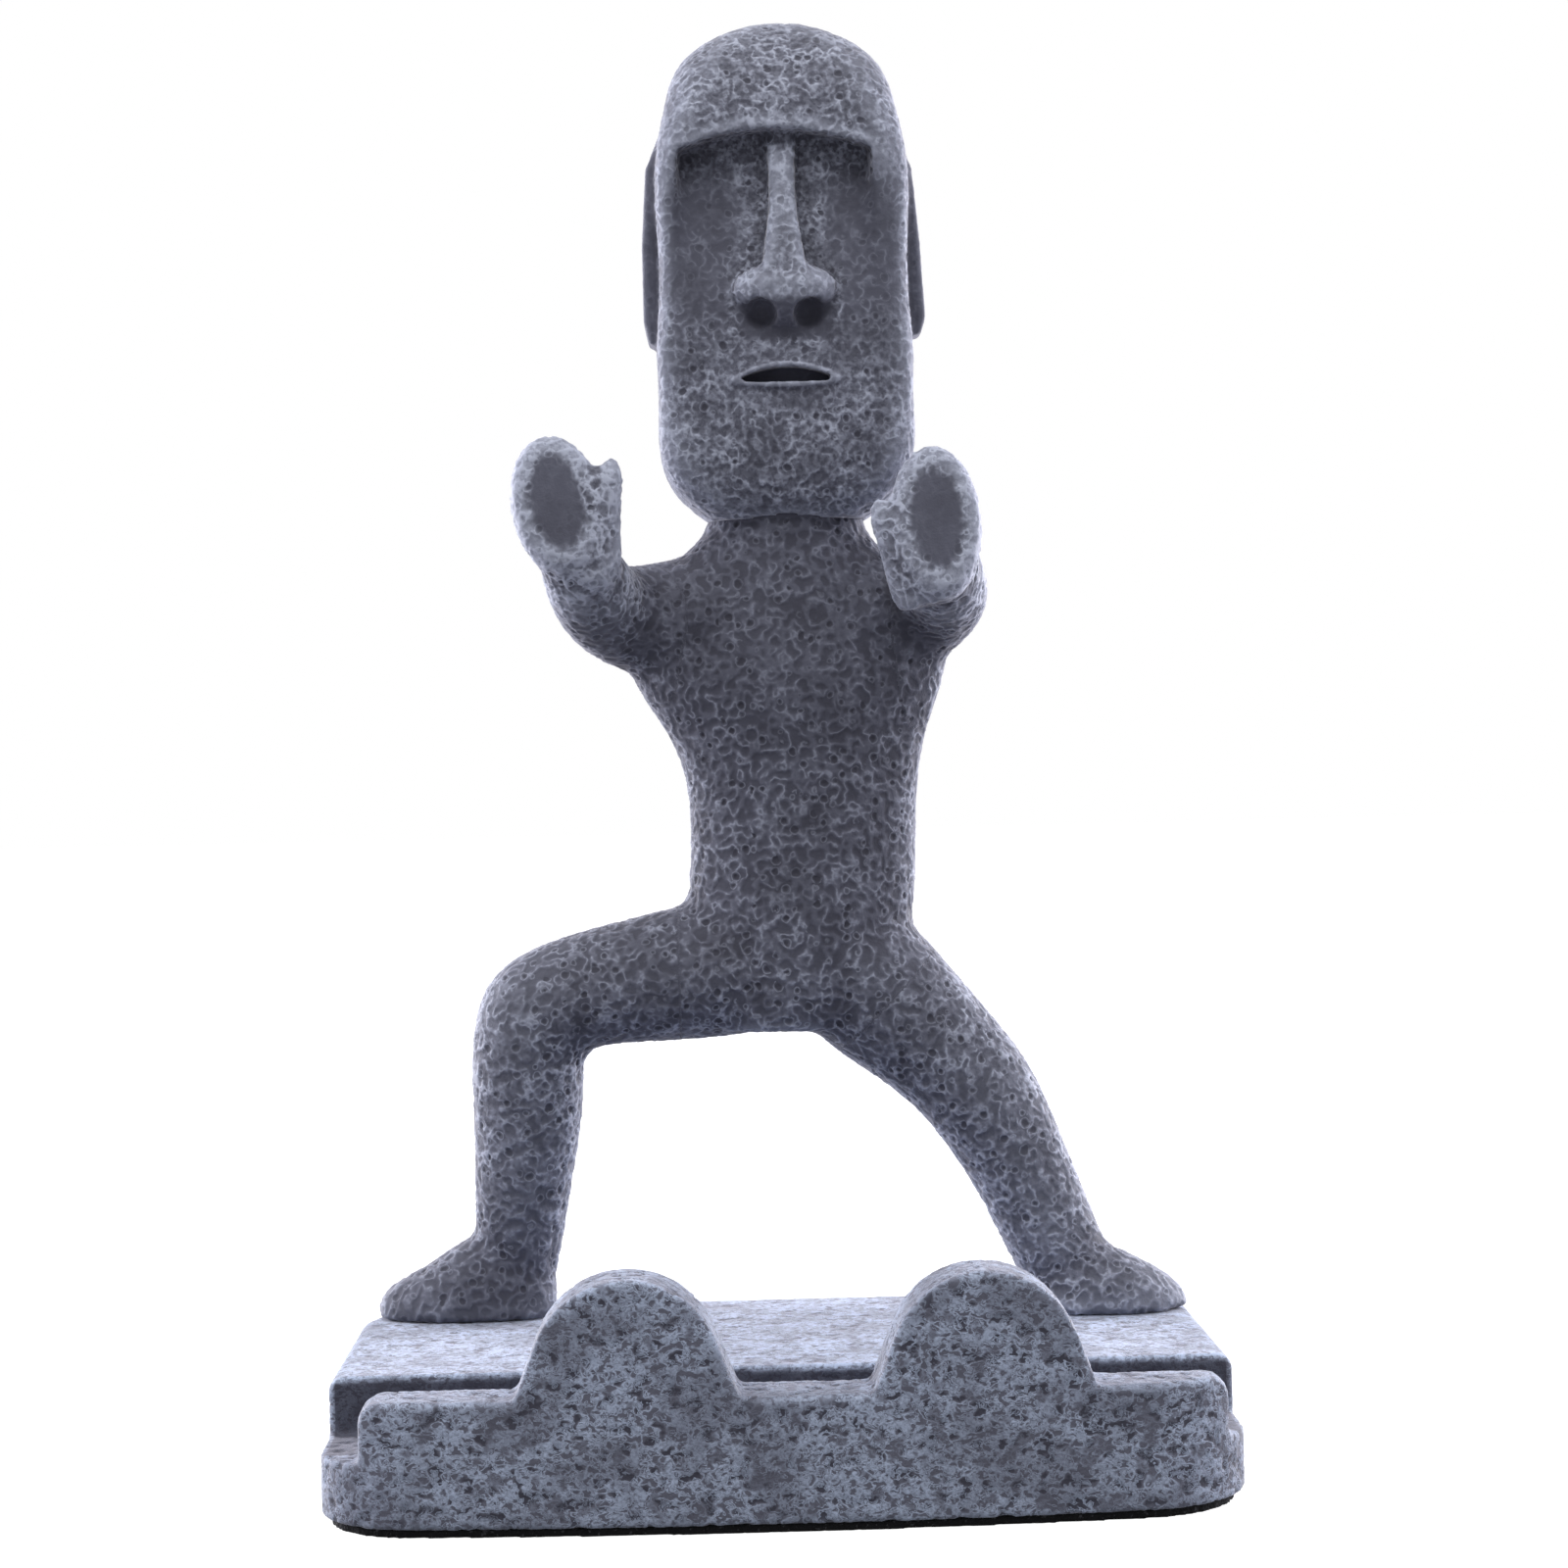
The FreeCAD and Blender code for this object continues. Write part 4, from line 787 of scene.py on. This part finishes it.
def make_head(material):
    """The head, with its socket for the neck left true."""
    pin_end = combined(cores["neck_pin"], above(NECK_TOP - 0.05 * MM), "INTERSECT")
    skin = remeshed(gathered(nodes["head"].data, pin_end), FIGURE_GRAIN)
    touching = nearness(skin, nodes["torso"].data, reach=0.8 * MM, high=NECK_TOP + 1.0 * MM)
    held = rise(touching, *JOINT_TOUCH)
    mouth, cheeks, _ = face_regions(places(skin))
    soften(skin, passes=8, ridge_share=0.35, hold=np.maximum(held, 0.9 * mouth))
    soften(skin, passes=150, ridge_share=1.0, hold=1 - cheeks)
    where = places(skin)
    mouth, cheeks, nose_and_mouth_shade = face_regions(where)
    # Painted shade in the sockets, stronger towards the brow, and under the nose and in the mouth.
    shade = np.maximum(nose_and_mouth_shade, 0.7 * cheeks * rise(where[:, 2] / MM, *SOCKET_RISE))
    ear = ear_share(where)
    quiet = np.maximum(np.maximum(mouth, shade), ear)
    # Painted shade: the edge share is lowered under the nose and in the mouth's slit, so that they come out
    # dark.
    keep_value(skin, "edge", roundness(skin, passes=50, depth=FIGURE_EDGE) - 0.7 * nose_and_mouth_shade)
    keep_value(skin, "calm", np.maximum(held, HEAD_CALM + FACE_CALM * quiet))
    # Painted shade: less light paint in the sockets, under the nose and on the ears.
    keep_value(skin, "brush_and_painted_light", HEAD_BRUSH - HEAD_SHADE * np.maximum(shade, ear))
    skin = carved(skin, carving("head_pits", lava_skin, FIGURE_CELL, FIGURE_PIT))
    skin = combined(skin, cores["neck_pin"], "DIFFERENCE")
    shown("head_casting", skin, material, "head")


def make_block(material):
    """The stand, with worn edges and a finer skin."""
    stubs = [combined(cores[rod], below(PLATFORM_TOP), "INTERSECT") for rod in RODS]
    skin = remeshed(gathered(nodes["base_block"].data, *stubs), BLOCK_GRAIN)
    slot, top = block_regions(places(skin), directions(skin))
    soften(skin, passes=2, ridge_share=0.9)
    worn = 0.45 * roundness(skin, passes=20, depth=BLOCK_EDGE)
    # Painted shade in the slot under the lip: its edge share is pushed down so that it comes out as a dark
    # hollow.
    keep_value(skin, "edge", np.minimum(worn, 1 - 1.9 * slot))
    keep_value(skin, "calm", TOP_CALM * top)
    # Painted light: more light paint on the platform's top, as the lamps above and behind light it.
    keep_value(skin, "brush_and_painted_light", BLOCK_BRUSH - SLOT_SHADE * slot + TOP_PAINTED_LIGHT * top)
    skin = carved(skin, carving("block_pits", flaked_skin, BLOCK_CELL, BLOCK_PIT))
    for rod in RODS:
        skin = combined(skin, cores[rod], "DIFFERENCE")
    shown("base_block_casting", skin, material, "base_block")


def make_pad(material):
    """Foam sheet under the block, its cut edge rough."""
    skin = remeshed(nodes["non_slip_pad"].data, FOAM_GRAIN)
    where = places(skin)
    facing = directions(skin)
    rim = 1 - np.abs(facing[:, 2])
    ragged = [noise.noise(Vector(place) / FOAM_BUBBLE) for place in where]
    put(skin, where + facing * (rim * ragged)[:, None] * FOAM_RAGS)
    foam_sheet = shown("non_slip_foam", skin, material, "non_slip_pad")


def paint_steel(material):
    """The pins and rods keep their CAD shapes."""
    for pin in PINS:
        nodes[pin].data.materials.clear()
        nodes[pin].data.materials.append(material)


# ----------------------------------------------------------------------------------------------------- studio


def make_world():
    """White where the camera sees it, and a soft sky for the light, weaker from below."""
    world = bpy.data.worlds.new("studio")
    world.use_nodes = True
    tree = world.node_tree
    seen = node(tree, "ShaderNodeLightPath").outputs["Is Camera Ray"]
    way = node(tree, "ShaderNodeTexCoord").outputs["Generated"]
    height = node(tree, "ShaderNodeSeparateXYZ", {0: way}).outputs[2]
    sky = s_curve(tree, height, *SKY_HEIGHTS, *SKY_STRENGTHS)
    strength = calculate(tree, "MAXIMUM", seen, sky)
    fill(tree, tree.nodes["Background"], {"Color": WHITE + (1.0,), "Strength": strength})
    bpy.context.scene.world = world
    bpy.context.scene.view_settings.view_transform = "Standard"


def make_lights():
    """Soft boxes aimed at the middle: two from above, two from the sides and two from behind."""
    target = (cad_box[0] + cad_box[1]) / 2
    for name, (place, size, power, colour) in SOFT_BOXES.items():
        lamp = bpy.data.lights.new(name, "AREA")
        lamp.shape = "RECTANGLE"
        lamp.size, lamp.size_y = size
        lamp.energy = power
        lamp.color = colour
        holder = bpy.data.objects.new(name, lamp)
        bpy.context.scene.collection.objects.link(holder)
        holder.location = place
        holder.rotation_mode = "QUATERNION"
        holder.rotation_quaternion = (Vector(target) - Vector(place)).to_track_quat("-Z", "Y")


def make_floor():
    """A floor that is white to the camera and throws little light back."""
    material, tree, shader = new_material("floor_white")
    seen = node(tree, "ShaderNodeLightPath").outputs["Is Camera Ray"]
    fill(tree, shader, {
        "Base Color": FLOOR_TONE,
        "Roughness": 0.9,
        "Specular IOR Level": 0.0,
        "Emission Color": WHITE + (1.0,),
        "Emission Strength": s_curve(tree, seen, 0.0, 1.0, *FLOOR_GLOW),
    })
    corners = [(side * FLOOR_HALF, end * FLOOR_HALF, 0) for side, end in ((-1, -1), (1, -1), (1, 1), (-1, 1))]
    floor = bpy.data.meshes.new("floor")
    floor.from_pydata(corners, [], [(0, 1, 2, 3)])
    floor.materials.append(material)
    stage = bpy.data.objects.new("floor", floor)
    bpy.context.scene.collection.objects.link(stage)


def make_camera():
    """A long lens at the height of the figure's waist, a little to its right and not quite level."""
    lens = bpy.data.cameras.new("camera")
    lens.sensor_width = SENSOR
    lens.lens = LENS
    camera = bpy.data.objects.new("camera", lens)
    bpy.context.scene.collection.objects.link(camera)
    camera.location = CAMERA_PLACE
    look = Vector((sin(YAW) * cos(PITCH), cos(YAW) * cos(PITCH), -sin(PITCH)))
    camera.rotation_mode = "QUATERNION"
    camera.rotation_quaternion = look.to_track_quat("-Z", "Y") @ Quaternion((0, 0, 1), -ROLL)
    bpy.context.scene.camera = camera


# The steel inside, welded shut so that it can cut its own holes.
cores = {pin: gathered(nodes[pin].data) for pin in PINS}
figure_stone = stone(
    "figure_stone", lava_skin, FIGURE_CELL, FIGURE_SHADES, cover=0.85, roughness=0.78, bump=0.5
)
block_stone = stone(
    "block_stone", flaked_skin, BLOCK_CELL, BLOCK_SHADES, cover=1.3, roughness=0.75, bump=0.7
)
make_body(figure_stone)
make_head(figure_stone)
make_block(block_stone)
make_pad(foam())
paint_steel(steel())
make_world()
make_lights()
make_floor()
make_camera()
